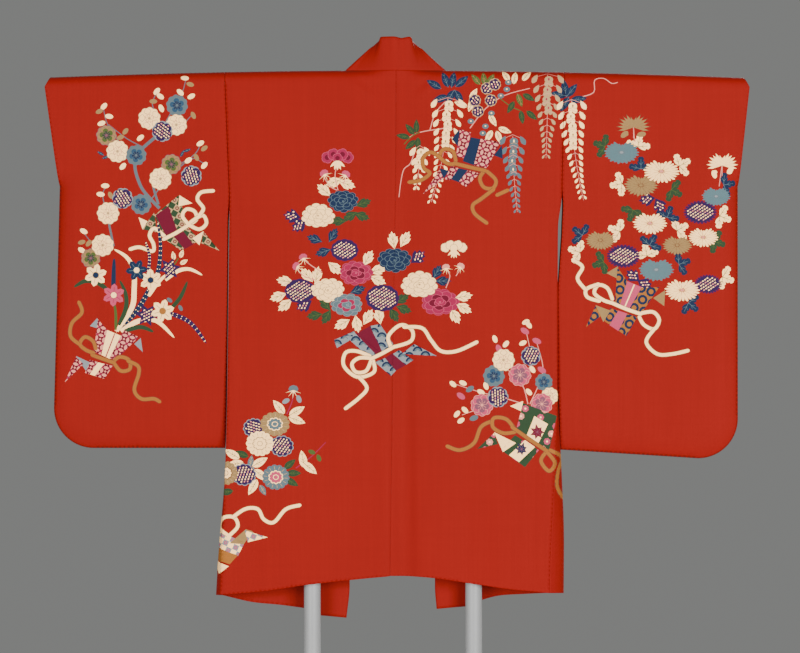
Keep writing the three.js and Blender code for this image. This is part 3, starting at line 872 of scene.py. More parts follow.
def blade(brush: Brush, points: Sequence[Flat], width: float, dye: Dye, dappled: bool = False) -> None:
    """A long grass blade that narrows to its tip."""
    path = smooth_path(points, 6)
    last = len(path) - 1
    for k in range(last):
        ends = []
        for i in (k, k + 1):
            (ax, ay), (bx, by) = path[max(i - 1, 0)], path[min(i + 1, last)]
            length = math.hypot(bx - ax, by - ay)
            half = 0.5 * width * math.sqrt(clamp(1 - (i / last) ** 3)) * mix(0.7, 1, ease(4 * i / last))
            ends.append((*path[i], -(by - ay) / length * half, (bx - ax) / length * half))
        (x, y, nx, ny), (far_x, far_y, mx, my) = ends
        brush.fill(
            [(x + nx, y + ny), (x - nx, y - ny), (far_x - mx, far_y - my), (far_x + mx, far_y + my)],
            dye,
        )
        for share in (-0.5, 0.5) if dappled else ():
            brush.disc(x + share * nx, y + share * ny, 0.55, Dye.CREAM, 5)


CORD = 4.2
CORD_EDGE = 0.9


def cord(brush: Brush, points: Sequence[Flat], dye: Dye) -> None:
    """A tied cord, drawn with its shaded edge."""
    path = smooth_path(points, 6)
    brush.stroke(path, CORD, Dye.BROWN if dye is Dye.OCHRE else Dye.TAN)
    for x, y in (path[0], path[-1]):
        brush.disc(x, y, 0.5 * CORD - 0.5, dye, 8)
    brush.stroke(path, CORD - CORD_EDGE, dye)


class Paper(Enum):
    """The patterned papers of the bouquets."""

    LATTICE = "lattice"
    RINGS = "rings"
    CHECK = "check"
    WAVES = "waves"
    FLOWERS = "flowers"


STAR = (
    (0.47, 0.47), (0.27, 0), (0.47, -0.47), (0, -0.27), (-0.47, -0.47), (-0.27, 0), (-0.47, 0.47),
    (0, 0.27),
)
TILE = ((-0.5, -0.5), (0.5, -0.5), (0.5, 0.5), (-0.5, 0.5))


@dataclass(frozen=True)
class Sheet:
    """A patterned paper: its pattern, the dyes of its ground and pattern, and its pitch in squares."""

    kind: Paper
    ground: Dye
    ink: Dye
    second: Dye
    pitch: float
    tilt: float

    def turned(self, x: float, y: float) -> Flat:
        """A place of the pattern, in pitches, from the paper's middle."""
        c, s = polar(self.pitch, self.tilt)
        return x * c - y * s, x * s + y * c

    def motif(self, i: int, j: int) -> Iterable[tuple[Sequence[Flat], Dye]]:
        """The shapes of the pattern's motif in a row and column, about its own place."""

        def ring(r: float, sides: int = 10, x: float = 0.0, y: float = 0.0) -> list[Flat]:
            """The corners of a round, its radius in pitches."""
            around = (polar(r * self.pitch, 360 * k / sides) for k in range(sides))
            return [(x + across, y + up) for across, up in around]

        odd = (i + j) % 2
        if self.kind is Paper.LATTICE:
            yield [self.turned(a, b) for a, b in STAR], self.ink
            yield ring(0.16, 4), self.ground
            yield ring(0.2, 6, *self.turned(0.5, 0.5)), self.second
        elif self.kind is Paper.RINGS:
            yield ring(0.48), self.ink
            yield ring(0.24), self.ground if odd else self.second
        elif self.kind is Paper.CHECK and odd:
            yield [self.turned(a, b) for a, b in TILE], self.ink
        elif self.kind is Paper.CHECK:
            yield ring(0.32, 8), self.second
            yield ring(0.17, 6), self.ground
        elif self.kind is Paper.WAVES:
            for r, dye in ((0.56, self.ink), (0.36, self.second), (0.16, self.ground)):
                yield [p for p in ring(r, 14) if p[1] >= -0.3], dye
        elif (i + 2 * j) % 2 == 0:
            for k in range(7):
                place = polar(0.24 * self.pitch, 360 * k / 7 + 11 * i)
                yield ring(0.17, 6, *place), self.ink if odd else self.second
            yield ring(0.12, 6), Dye.CREAM

    def cut(self, brush: Brush, corners: Sequence[Flat]) -> None:
        """Lays a convex piece of the paper, given by its corners."""
        window = counter_clockwise(list(corners))
        brush.fill(window, self.ground)
        middle_x = sum(x for x, _ in window) / len(window)
        middle_y = sum(y for _, y in window) / len(window)
        reach = int(max(math.hypot(x - middle_x, y - middle_y) for x, y in window) / self.pitch) + 2
        staggered = self.kind in (Paper.RINGS, Paper.WAVES)
        for i in range(-reach, reach + 1):
            for j in range(-reach, reach + 1):
                across, up = self.turned(i + (0.5 * (j % 2) if staggered else 0.0), j)
                for shape, dye in self.motif(i, j):
                    within = clip([(middle_x + across + x, middle_y + up + y) for x, y in shape], window)
                    if within:
                        brush.fill(within, dye)


def maple(brush: Brush, radius: float, dye: Dye) -> None:
    """A maple leaf of seven points."""
    tips = (radius * (0.5 if k % 2 else 1 - 0.02 * k) for k in range(14))
    brush.fill([polar(tip, 90 + 360 * k / 14) for k, tip in enumerate(tips)], dye)
    brush.rays(7, 0, 0.7 * radius, 0.35, Dye.MAUVE, turn=90)


# ---------------------------------------------------------------- panels of cloth


class Point(NamedTuple):
    """A flat point of a panel's outline, and whether the cloth is sewn to its other layer there."""

    x: float
    v: float
    sewn: bool = False


def write_mesh(
    name: str,
    points: Sequence[Vector],
    faces: Sequence[Sequence[int]],
    dyes: Sequence[Dye] | None = None,
    weld: float = 0.0,
) -> bpy.types.Object:
    """Writes points in millimetres and faces as a smooth mesh in metres.

    Args:
        name: the piece's name.
        points: its points.
        faces: its faces.
        dyes: the dye of each face, or None for plain cloth.
        weld: the distance under which points become one, in millimetres.

    Returns:
        The new object.
    """
    mesh = bpy.data.meshes.new(name)
    mesh.from_pydata([tuple(p / METRE) for p in points], [], [tuple(f) for f in faces])
    colours = mesh.color_attributes.new("dye", "FLOAT_COLOR", "CORNER")
    plain = Dye.SCARLET.linear
    values: list[float] = []
    for k, face in enumerate(faces):
        values.extend((dyes[k].linear if dyes else plain) * len(face))
    colours.data.foreach_set("color", values)
    if weld:
        shape = bmesh.new()
        shape.from_mesh(mesh)
        bmesh.ops.remove_doubles(shape, verts=shape.verts, dist=weld / METRE)
        shape.to_mesh(mesh)
        shape.free()
    mesh.shade_smooth()
    piece = bpy.data.objects.new(name, mesh)
    bpy.context.scene.collection.objects.link(piece)
    return piece


MERGE = 1e-3
WELD = 0.02


def border(triangles: Sequence[tuple[int, ...]]) -> list[int]:
    """The points round the border of a net of triangles, in order."""
    ways = {(f[k], f[(k + 1) % 3]) for f in triangles for k in range(3)}
    after = {a: b for a, b in ways if (b, a) not in ways}
    edge = [next(iter(after))]
    while after[edge[-1]] != edge[0]:
        edge.append(after[edge[-1]])
    return edge


@dataclass
class Panel:
    """A panel of cloth with two faces, cut to an outline and dyed on its outer face."""

    name: str
    outline: list[Point]
    place: Callable[[float, float, float], Vector]
    thickness: float
    turn_length: float
    spacing: float = 8.0
    insets: tuple[float, ...] = (1.2, 2.8, 5.2)
    reach: float = 40.0

    def __post_init__(self) -> None:
        """Turns the outline counter-clockwise."""
        self.outline = counter_clockwise(self.outline)

    def near_edge(self) -> list[Vector]:
        """Flat points in rows just inside the outline, where the cloth dips to its seams."""
        points = []
        for a, b in pairs(self.outline):
            length = math.hypot(b.x - a.x, b.v - a.v)
            if length < 1.0:
                continue
            across = Vector((-(b.v - a.v), b.x - a.x)) / length
            middle = Vector(((a.x + b.x) / 2, (a.v + b.v) / 2))
            for inset in self.insets:
                p = middle + across * inset
                if self.clearance(p.x, p.y) > 0.9 * inset:
                    points.append(p)
        return points

    def grid(self, spacing: float) -> list[Vector]:
        """Flat points in even rows over the panel, closer over the rod and kept off its edge."""
        xs, vs = [p.x for p in self.outline], [p.v for p in self.outline]
        points = []
        v = min(vs) + 0.5 * spacing
        row = 0
        while v < max(vs):
            over_rod = -4 < v < self.turn_length + 4
            x = min(xs) + (0.25 + 0.5 * (row % 2)) * spacing
            while x < max(xs):
                if self.clearance(x, v) > 0.9 * self.spacing:
                    points.append(Vector((x, v)))
                x += spacing
            v += min(spacing, self.turn_length / 14) if over_rod else spacing
            row += 1
        return points

    def clearance(self, x: float, v: float) -> float:
        """The distance from a flat point to the outline."""
        nearest = math.inf
        for a, b in pairs(self.outline):
            off_x = min(abs(a.x - x), abs(b.x - x)) - abs(a.x - b.x)
            off_v = min(abs(a.v - v), abs(b.v - v)) - abs(a.v - b.v)
            if max(off_x, off_v) <= self.reach:
                nearest = min(nearest, distance((x, v), a[:2], b[:2]))
        return nearest

    def is_sewn(self, x: float, v: float) -> bool:
        """Whether a flat point lies on a sewn stretch of the outline."""
        for a, b in pairs(self.outline):
            if a.sewn and b.sewn and distance((x, v), a[:2], b[:2]) < 0.01:
                return True
        return False

    def near(self, sketch: Sketch) -> list[tuple[Sequence[Flat], Dye]]:
        """The sketch's shapes that may reach the panel, in their order."""
        low_x, high_x = min(p.x for p in self.outline), max(p.x for p in self.outline)
        low_v, high_v = min(p.v for p in self.outline), max(p.v for p in self.outline)
        kept = []
        for shape, dye in sketch.shapes:
            beside = max(p[0] for p in shape) < low_x or min(p[0] for p in shape) > high_x
            if not beside and max(p[1] for p in shape) >= low_v and min(p[1] for p in shape) <= high_v:
                kept.append((shape, dye))
        return kept

    def dyed(self, sketch: Sketch) -> tuple[list[Vector], list[tuple[int, ...]], list[Dye]]:
        """Cuts the outer face into triangles along the outlines of the dyes.

        Args:
            sketch: the design, whose later shapes lie over the earlier.

        Returns:
            Its flat points, its triangles and the dye of each triangle.
        """
        laid = [((), Dye.SCARLET), *self.near(sketch)]
        flat = [Vector((p.x, p.v)) for p in self.outline]
        loops = [list(range(len(flat)))]
        for shape, _ in laid[1:]:
            loops.append(list(range(len(flat), len(flat) + len(shape))))
            flat.extend(Vector(p) for p in shape)
        flat += self.near_edge() + self.grid(self.spacing)
        cut = delaunay_2d_cdt(flat, [], loops, 1, MERGE, True)
        points = [Vector((p[0], p[1])) for p in cut[0]]
        triangles, tints = [], []
        for face, sources in zip(cut[2], cut[5]):
            if 0 in sources:
                triangles.append(tuple(face))
                middle = (sum(points[i].x for i in face) / 3, sum(points[i].y for i in face) / 3)
                over = (k for k in sorted(sources, reverse=True) if k == 0 or inside(middle, laid[k][0]))
                tints.append(laid[next(over)][1])
        used = sorted({i for face in triangles for i in face})
        renumber = {old: new for new, old in enumerate(used)}
        return [points[i] for i in used], [tuple(renumber[i] for i in face) for face in triangles], tints

    def build(self, sketch: Sketch) -> bpy.types.Object:
        """Cuts the panel, lays the sketch's dyes on it and gives it its thickness."""
        outer, faces, tints = self.dyed(sketch)
        edge = border(faces)
        lining = [outer[i] for i in edge] + self.near_edge() + self.grid(2 * self.spacing)
        back = delaunay_2d_cdt(lining, [], [list(range(len(edge)))], 1, MERGE, True)
        first = len(outer)
        matched = {}
        for new, sources in enumerate(back[3]):
            for old in sources:
                if old < len(edge):
                    matched[edge[old]] = first + new
        skin = self.thickness / 2
        points = [self.place(p.x, p.y, skin) for p in outer]
        points += [self.place(p[0], p[1], -skin) for p in back[0]]
        inner = [face for face, sources in zip(back[2], back[5]) if 0 in sources]
        faces += [tuple(first + i for i in reversed(face)) for face in inner]
        for a, b in pairs(edge):
            if not (self.is_sewn(*outer[a]) and self.is_sewn(*outer[b])):
                faces.append((b, a, matched[a], matched[b]))
        tints += [Dye.SCARLET] * (len(faces) - len(tints))
        piece = write_mesh(self.name, points, faces, tints, WELD)
        outward(piece)
        LOG.info("%s: %d faces", self.name, len(piece.data.polygons))
        return piece


def outward(piece: bpy.types.Object) -> None:
    """Turns a closed mesh's faces outwards."""
    shape = bmesh.new()
    shape.from_mesh(piece.data)
    if shape.calc_volume(signed=True) < 0:
        bmesh.ops.reverse_faces(shape, faces=shape.faces)
    shape.to_mesh(piece.data)
    shape.free()


@dataclass
class HungPiece:
    """A piece of the jacket on one of its sides."""

    hang: Hang
    side: Side
    part: ClassVar[str]

    @property
    def name(self) -> str:
        """The piece's name."""
        return f"silk_{self.part}_{self.side.word}"


@dataclass
class BodyLength(HungPiece):
    """One body length: from the back hem over the shoulder to the front hem."""

    part: ClassVar[str] = "body"
    step: float = 8.0
    seam_step: float = 3.0
    turn_step: float = 4.0
    hem_height: float = 490.0
    flat_size: tuple[float, float] = (0.31, 1.93)
    flat_area: float = 0.45

    def neck_top(self, x: float) -> float:
        """The flat height of the neckline at x."""
        h = self.hang
        start = h.centre(h.bar_height)
        share = clamp((x - start) / (h.neck_corner[self.side] - start))
        return mix(h.neck_rise, 0.5 * math.pi * h.radius, ease(share))

    def place(self, x: float, v: float, skin: float) -> Vector:
        """A point of the cloth, skin outside its middle."""
        h = self.hang
        pucker = sum(c.height(x, v) for c in h.creases)
        if v <= 0:
            z = h.bar(x) + v
            inward = abs(x - h.centre(z)) - h.centre_seam / 2
            pucker -= 0.8 * bell(inward / 3.0) + 1.8 * bell((abs(x - h.side[self.side](z))) / 5.0)
            return Vector((x, -h.depth(x, -v, Face.BACK) - skin - pucker, z))
        beyond = v - h.turn_length
        if beyond >= 0:
            z = h.bar(x) - beyond
            pucker = -0.6 * bell(abs(x - h.front_edge[self.side](beyond)) / 3)
            return Vector((x, h.depth(x, beyond, Face.FRONT) + skin + pucker, z))
        turn = v / h.radius
        start, corner = h.centre(h.bar_height), h.neck_corner[self.side]
        share = clamp((x - start) / (corner - start))
        if share >= 1 or turn > math.pi / 2:
            return h.over_rod(x, turn, skin + pucker)
        up = clamp(v / self.neck_top(x))
        y = -h.radius - skin - pucker - h.neck_lean * up
        standing = Vector((x, y, h.bar(x) + h.neck_rise * up))
        return standing.lerp(h.over_rod(x, up * math.pi / 2, skin + pucker), ease(share))

    def cut(self) -> list[Point]:
        """The panel's outline, laid out flat."""
        h, side = self.hang, self.side
        gap = side.value * h.centre_seam / 2
        top = h.bar_height
        half_turn = 0.5 * math.pi * h.radius
        points: list[Point] = []

        def up(height: float, x: float) -> Point:
            """A point of the back at a height."""
            return Point(x, height - h.bar(x))

        def down(height: float, x: float) -> Point:
            """A point of the front at a height."""
            return Point(x, h.turn_length + h.bar(x) - height)

        for share in steps(0, 1, self.step / 300):
            x = mix(h.centre(self.hem_height) + gap, h.side[side](self.hem_height), share)
            points.append(up(h.back_hem[side](share), x))
        for z in steps(h.back_hem[side](1), h.armhole_foot, self.step):
            points.append(up(z, h.side[side](z)))
        edge = h.side[side](top)
        for z in steps(h.armhole_foot, h.bar(edge), self.step):
            points.append(up(z, h.side[side](z)))
        for v in steps(0, h.turn_length, self.turn_step):
            points.append(Point(edge, v))
        for z in steps(h.bar(edge), h.front_hem[side](1), self.step):
            points.append(down(z, h.side[side](z)))
        for share in steps(1, 0, self.step / 150):
            z = h.front_hem[side](share)
            drop = h.bar_height - z
            points.append(down(z, mix(h.front_edge[side](drop), h.side[side](z), share)))
        for z in steps(h.front_hem[side](0), h.bar(90), self.step):
            points.append(down(z, h.front_edge[side](h.bar(90) - z)))
        for t in steps(0, 1, self.turn_step / half_turn):
            x = mix(h.front_edge[side](0), h.neck_corner[side], t)
            points.append(Point(x, mix(h.turn_length, half_turn, t)))
        for x in steps(h.neck_corner[side], h.centre(top) + gap, 5.0):
            points.append(Point(x, self.neck_top(x)))
        for v in steps(h.neck_rise, 0, self.turn_step):
            points.append(Point(h.centre(top) + gap, v))
        for z in steps(top, h.back_hem[side](0), self.seam_step):
            points.append(up(z, h.centre(z) + gap))
        return points

    def build(self, sketch: Sketch) -> bpy.types.Object:
        """Makes the piece."""
        h = self.hang
        return Panel(self.name, self.cut(), self.place, h.cloth, h.turn_length, self.step).build(sketch)


@dataclass(frozen=True)
class SleeveCut:
    """The outline of a sleeve, below the rod."""

    inner: Flat
    corner: Flat
    corner_radius: float
    cuff_foot: Flat
    cuff_top: float
    free_edge: Curve


SLEEVE_CUTS = {
    Side.LEFT: SleeveCut(
        (-303.5, 739.5), (-541.5, 811.5), 72, (-603, 1213), -628,
        Curve((736, 2.5), (900, 2.5), (1140, 2.8), (1216, 0.3), (1420, 0.3)),
    ),
    Side.RIGHT: SleeveCut(
        (303, 736.5), (552.2, 792.8), 72, (624, 1213), 643,
        Curve(
            (736, 10.5), (770, 7.2), (820, 3.8), (870, 1.0), (1010, 0.5),
            (1070, 4.0), (1140, 7.5), (1216, 0.3), (1420, 0.3),
        ),
    ),
}


@dataclass
class Sleeve(HungPiece):
    """A bag sleeve: one piece of cloth folded over the rod and sewn round its bottom corner."""

    part: ClassVar[str] = "sleeve"
    step: float = 8.0
    width: float = 320.0
    drop: float = 665.0
    half_depth: float = 8.0
    rounding: float = 16.0
    cuff_rounding: float = 9.0
    turn_step: float = 4.0
    sewn_line: list[Flat] = field(init=False)
    flat_size: tuple[float, float] = (0.32, 1.37)
    creases: dict[Side, tuple[Crease, ...]] = field(
        default_factory=lambda: {
            Side.LEFT: (
                Crease((-330, -420), (-350, -640), 9, 0.9),
                Crease((-470, -470), (-500, -640), 12, -0.9),
                Crease((-420, -60), (-560, -40), 8, 0.6),
            ),
            Side.RIGHT: (
                Crease((420, -500), (456, -560), 6, -1.1),
                Crease((440, -495), (486, -540), 6, 0.9),
                Crease((500, -420), (520, -640), 12, 0.8),
                Crease((350, -420), (372, -640), 9, -0.8),
            ),
        }
    )

    @property
    def inner_top(self) -> float:
        """Where the armhole's seam crosses the rod."""
        return self.hang.side[self.side](self.hang.bar_height) + self.side.value * self.hang.seam

    def rounded(self, turn: float) -> Flat:
        """A point of the rounded corner, a turn round from its foot."""
        cut = SLEEVE_CUTS[self.side]
        out, up = cut.corner_radius * math.sin(turn), cut.corner_radius * math.cos(turn)
        return cut.corner[0] + self.side.value * out, cut.corner[1] - up

    def edge(self) -> list[tuple[float, float, bool]]:
        """One layer's outline below the rod, from the armhole round to the cuff: x, z, sewn."""
        h, s, cut = self.hang, self.side.value, SLEEVE_CUTS[self.side]
        points = []
        for z in steps(h.bar(self.inner_top), cut.inner[1], self.step):
            points.append((h.side[self.side](z) + s * cut.free_edge(z), z, False))
        bottom = stretch(cut.inner, self.rounded(0), self.step / 240)
        corner = [self.rounded(a) for a in steps(0, math.pi / 2, math.pi / 36)]
        outer = stretch((self.rounded(math.pi / 2)[0], cut.corner[1]), cut.cuff_foot, self.step / 400)
        points += [(x, z, True) for x, z in [*bottom, *corner, *outer, cut.cuff_foot]]
        cuff = stretch(cut.cuff_foot, (cut.cuff_top, h.bar(cut.cuff_top)), self.step / 180)[1:]
        return points + [(x, z, False) for x, z in cuff]

    def cut(self) -> list[Point]:
        """The sleeve's outline, laid out flat: the back layer, the fold over the rod and the front layer."""
        h = self.hang
        edge = self.edge()
        cuff_top = SLEEVE_CUTS[self.side].cuff_top
        back = [Point(x, z - h.bar(x), sewn) for x, z, sewn in edge]
        front = [Point(x, h.turn_length - (z - h.bar(x)), sewn) for x, z, sewn in reversed(edge)]
        over_cuff = [Point(cuff_top, v) for v in [*steps(0, h.turn_length, self.turn_step), h.turn_length]]
        inner = [Point(self.inner_top, v) for v in steps(h.turn_length, 0, self.turn_step)[1:]]
        return back + over_cuff + front + inner

    def sewn_distance(self, x: float, z: float) -> float:
        """How far a point of a layer is from the sewn edge."""
        return min(distance((x, z), a, b) for a, b in zip(self.sewn_line, self.sewn_line[1:]))

    def inward(self, x: float, z: float) -> Vector:
        """The way from the nearest sewn edge into the sleeve."""
        s, cut = self.side.value, SLEEVE_CUTS[self.side]
        if z > cut.corner[1] - 0.01:
            return Vector((-s, 0))
        if s * (x - cut.corner[0]) < 0.01:
            return Vector((0, 1))
        return (Vector(cut.corner) - Vector((x, z))).normalized()

    def __post_init__(self) -> None:
        """Works out the sewn edge once, coarsely enough to be quick."""
        cut = SLEEVE_CUTS[self.side]
        self.sewn_line = [cut.inner, *[self.rounded(math.radians(5 * k)) for k in range(19)], cut.cuff_foot]

    def place(self, x: float, v: float, skin: float) -> Vector:
        """A point of the cloth, skin outside its middle."""
        h, s = self.hang, self.side.value
        if 0 < v < h.turn_length:
            turn = v / h.radius
            across = clamp((x - self.inner_top) / (SLEEVE_CUTS[self.side].cuff_top - self.inner_top))
            x -= s * self.cuff_rounding * math.sin(turn) * across**12
            return h.over_rod(x, turn, skin)
        back = v <= 0
        drop = -v if back else v - h.turn_length
        z = h.bar(x) - drop
        sewn = self.sewn_distance(x, z)
        if sewn < 0.02:
            sewn = 0.0
        hanging = mix(h.radius, self.half_depth, drop / self.drop)
        armhole = h.radius + h.side_out(clamp(drop, 0, h.armhole_depth))
        across = clamp(s * (x - h.side[self.side](z)) / self.width)
        half = mix(hanging, min(armhole, hanging), (1 - across) ** 4)
        half *= 1 - math.exp(-(sewn + 0.9) / self.rounding) if sewn else 0.0
        pucker = sum(c.height(x, v) for c in self.creases[self.side]) if back else 0.0
        pucker -= 0.6 * bell((s * (x - h.side[self.side](z)) - 0.3) / 2.5)
        depth = half + (pucker + skin) * (1 - math.exp(-sewn / 2.0))
        if skin < 0:
            inset = 2.6 * math.exp(-sewn / 9.0) * self.inward(x, z)
            x, z = x + inset.x, z + inset.y
        return Vector((x, -depth if back else depth, z))

    def build(self, sketch: Sketch) -> bpy.types.Object:
        """Makes the piece."""
        h = self.hang
        return Panel(self.name, self.cut(), self.place, h.cloth, h.turn_length, self.step).build(sketch)


def wall(
    name: str,
    columns: int,
    rows: int,
    point: Callable[[float, float, float], Vector],
    thickness: float,
    tint: Callable[[float, float], Dye] | None = None,
) -> bpy.types.Object:
    """A wall of cloth over an even grid, closed round its rims.

    Args:
        name: the piece's name.
        columns: how many cells along it.
        rows: how many cells across it.
        point: the place of a share along, a share across and a distance outside the cloth's middle.
        thickness: the cloth's thickness.
        tint: the dye of the outer face at a share along and a share across, or None for plain cloth.

    Returns:
        The new object.
    """
    points = [
        point(i / columns, j / rows, skin)
        for skin in (thickness / 2, -thickness / 2)
        for i in range(columns + 1)
        for j in range(rows + 1)
    ]
    stride = (columns + 1) * (rows + 1)

    def at(i: int, j: int, face: int) -> int:
        """The number of a point of the grid."""
        return face * stride + i * (rows + 1) + j

    faces = []
    tints = []
    for i in range(columns):
        for j in range(rows):
            faces.append((at(i, j, 0), at(i + 1, j, 0), at(i + 1, j + 1, 0), at(i, j + 1, 0)))
            tints.append(tint((i + 0.5) / columns, (j + 0.5) / rows) if tint else Dye.SCARLET)
    for i in range(columns):
        for j in range(rows):
            faces.append((at(i, j, 1), at(i, j + 1, 1), at(i + 1, j + 1, 1), at(i + 1, j, 1)))
    for i in range(columns):
        faces.append((at(i + 1, 0, 0), at(i, 0, 0), at(i, 0, 1), at(i + 1, 0, 1)))
        faces.append((at(i, rows, 0), at(i + 1, rows, 0), at(i + 1, rows, 1), at(i, rows, 1)))
    for j in range(rows):
        faces.append((at(0, j, 0), at(0, j + 1, 0), at(0, j + 1, 1), at(0, j, 1)))
        faces.append((at(columns, j + 1, 0), at(columns, j, 0), at(columns, j, 1), at(columns, j + 1, 1)))
    tints += [Dye.SCARLET] * (len(faces) - len(tints))
    piece = write_mesh(name, points, faces, tints)
    outward(piece)
    LOG.info("%s: %d faces", name, len(piece.data.polygons))
    return piece


@dataclass
class Gusset(HungPiece):
    """The wedge of cloth let in at a side, below the armhole."""

    part: ClassVar[str] = "gusset"
    columns: int = 36
    rows: int = 320
    top_gap: float = 14.0
    ripple: float = 1.2
    flat_size: tuple[float, float] = (0.07, 0.73)
    flat_area: float = 0.034

    def place(self, across: float, up: float, skin: float) -> Vector:
        """A point of the gusset, from the back to the front and from the hem up."""
        h, s = self.hang, self.side.value
        foot = mix(h.back_hem[self.side](1), h.front_hem[self.side](1), across)
        z = mix(foot, h.armhole_foot - self.top_gap, up)
        seam = h.side[self.side](z) - s * 2 * h.seam
        middle = h.outline[self.side](z) - s * h.cloth / 2
        half = h.depth(h.side[self.side](z), h.bar_height - z, Face.BACK) - h.cloth - h.seam
        t = 2 * across - 1
        bow = middle - seam
        ripple = self.ripple * math.sin(5 * up + 2.2 * t) * (1 - t * t)
        x = seam + (bow + ripple) * (1 - t * t)
        slope = -2 * bow * t / half
        away = Vector((s, -s * slope, 0)).normalized()
        return Vector((x, t * half, z)) + away * skin

    def build(self, sketch: Sketch) -> bpy.types.Object:
        """Makes the piece, on whose back half the back's design runs on."""
        least = min(abs(self.hang.side[self.side](z)) for z in range(480, 1200, 40)) - 4
        near = []
        for shape, dye in reversed(sketch.shapes):
            reach = max(self.side.value * x for x, _ in shape)
            if reach > least:
                near.append((reach, min(v for _, v in shape), max(v for _, v in shape), shape, dye))

        def tint(across: float, up: float) -> Dye:
            """The dye at a place of the gusset."""
            p = self.place(across, up, 0)
            flat = (p.x, p.z - self.hang.bar(p.x))
            if across < 0.5:
                for reach, low, high, shape, dye in near:
                    if low < flat[1] < high and self.side.value * flat[0] < reach and inside(flat, shape):
                        return dye
            return Dye.SCARLET

        return wall(self.name, self.columns, self.rows, self.place, self.hang.cloth, tint)


class Station(NamedTuple):
    """Where the collar is sewn on, and which way it stands from there: inwards, forwards and up."""

    place: str
    at: float
    inward: float
    forward: float
    up: float


@dataclass
class Collar:
    """The long band, folded double, from one front hem round the neck to the other."""

    hang: Hang
    width: float = 60.5
    stand_off: float = -1.6
    columns: int = 420
    rows: int = 16
    flat_size: tuple[float, float] = (0.06, 2.2)
    bottoms: dict[Side, tuple[float, float, float]] = field(
        default_factory=lambda: {Side.LEFT: (433.5, 428.0, 55.0), Side.RIGHT: (449.5, 444.0, 57.5)}
    )
    stations: tuple[Station, ...] = (
        Station("neck", 0.28, 0.03, -0.04, 1),
        Station("neck", 0.6, 0.42, -0.02, 0.9),
        Station("neck", 0.85, 0.64, 0.02, 0.77),
        Station("turn", 90, 0.74, 0.04, 0.67),
        Station("turn", 112, 0.75, 0.08, 0.66),
        Station("turn", 135, 0.76, 0.12, 0.64),
        Station("turn", 158, 0.77, 0.16, 0.62),
        Station("turn", 180, 0.78, 0.2, 0.6),
        Station("drop", 25, 0.8, 0.18, 0.56),
        Station("drop", 60, 0.86, 0.14, 0.48),
        Station("drop", 110, 0.93, 0.1, 0.34),
        Station("drop", 170, 0.98, 0.08, 0.16),
        Station("drop", 250, 1, 0.06, 0.03),
        Station("drop", 400, 1, 0.05, 0),
        Station("drop", 600, 1, 0.05, 0),
        Station("drop", 800, 1, 0.06, 0),
        Station("drop", 920, 1, 0.06, 0),
        Station("hem", 0, 1, 0.06, 0),
    )

    def half(self, side: Side) -> list[tuple[Vector, Vector]]:
        """The sewn edge's points and the band's ways on one side, from the back neck to the hem."""
        h = self.hang
        body = BodyLength(h, side)
        made = []
        for s in self.stations:
            stand = Vector((-side.value * s.inward, s.forward, s.up)).normalized()
            if s.place == "neck":
                x = mix(h.centre(h.bar_height), h.neck_corner[side], s.at)
                sewn = body.place(x, body.neck_top(x), 0)
            elif s.place == "turn":
                x = mix(h.neck_corner[side], h.front_edge[side](0), (s.at - 90) / 90)
                sewn = h.over_rod(x, math.radians(s.at), 0)
            else:
                top = h.bar(h.front_edge[side](0))
                foot, folded, width = self.bottoms[side]
                fall = top - foot if s.place == "hem" else s.at
                x = h.front_edge[side](fall)
                sewn = Vector((x, h.depth(x, fall, Face.FRONT), top - fall))
                if s.place == "hem":
                    stand.x *= width / self.width
                    stand.z = (folded - foot) / self.width
            made.append((sewn, stand))
        return made

    def build(self) -> bpy.types.Object:
        """Makes the piece."""
        h = self.hang
        middle_x = h.centre(h.bar_height)
        neck_middle = Vector((middle_x, -h.radius - h.neck_lean, h.bar(0) + h.neck_rise))
        middle = (neck_middle, Vector((0, -0.04, 1)).normalized())
        line = [*reversed(self.half(Side.LEFT)), middle, *self.half(Side.RIGHT)]
        lengths = [0.0]
        for (a, _), (b, _) in zip(line, line[1:]):
            lengths.append(lengths[-1] + (b - a).length)
        tables = []
        for part in (0, 1):
            rows = [[(s, item[part][axis]) for s, item in zip(lengths, line)] for axis in range(3)]
            tables.append([Curve(*row) for row in rows])
        total = lengths[-1]
        neck = lengths[len(self.stations)]

        def middle_point(along: float, across: float) -> Vector:
            """A point of the band's middle."""
            s = clamp(along) * total
            sewn = Vector([curve(s) for curve in tables[0]])
            stand = Vector([curve(s) for curve in tables[1]])
            p = sewn + stand * mix(self.stand_off, self.width, clamp(across))
            standing = clamp(stand.z)
            off = p.x - 15
            p.y += across * standing * (3.6 * bell(off / 6) - 1.5 * bell((off + 14) / 8))
            p.z -= 2.4 * across**3 * standing * bell(off / 8)
            p.y += 0.8 * math.sin(0.021 * s) * math.sin(math.pi * across) * (1 - standing)
            return p

        def point(along: float, across: float, skin: float) -> Vector:
            """A point of the band's face."""
            a, b = middle_point(along - 0.0012, across), middle_point(along + 0.0012, across)
            c, d = middle_point(along, across - 0.02), middle_point(along, across + 0.02)
            out = (b - a).cross(d - c).normalized()
            edge = min(across, 1 - across) * self.width
            round_off = math.sqrt(clamp(1 - (1 - clamp(edge / 1.4)) ** 2, 0.12, 1))
            return middle_point(along, across) + out * skin * round_off

        LOG.info("the neck is %.0f mm along the collar of %.0f mm", neck, total)
        return wall("silk_collar", self.columns, self.rows, point, h.collar_cloth)


# ---------------------------------------------------------------- finishes


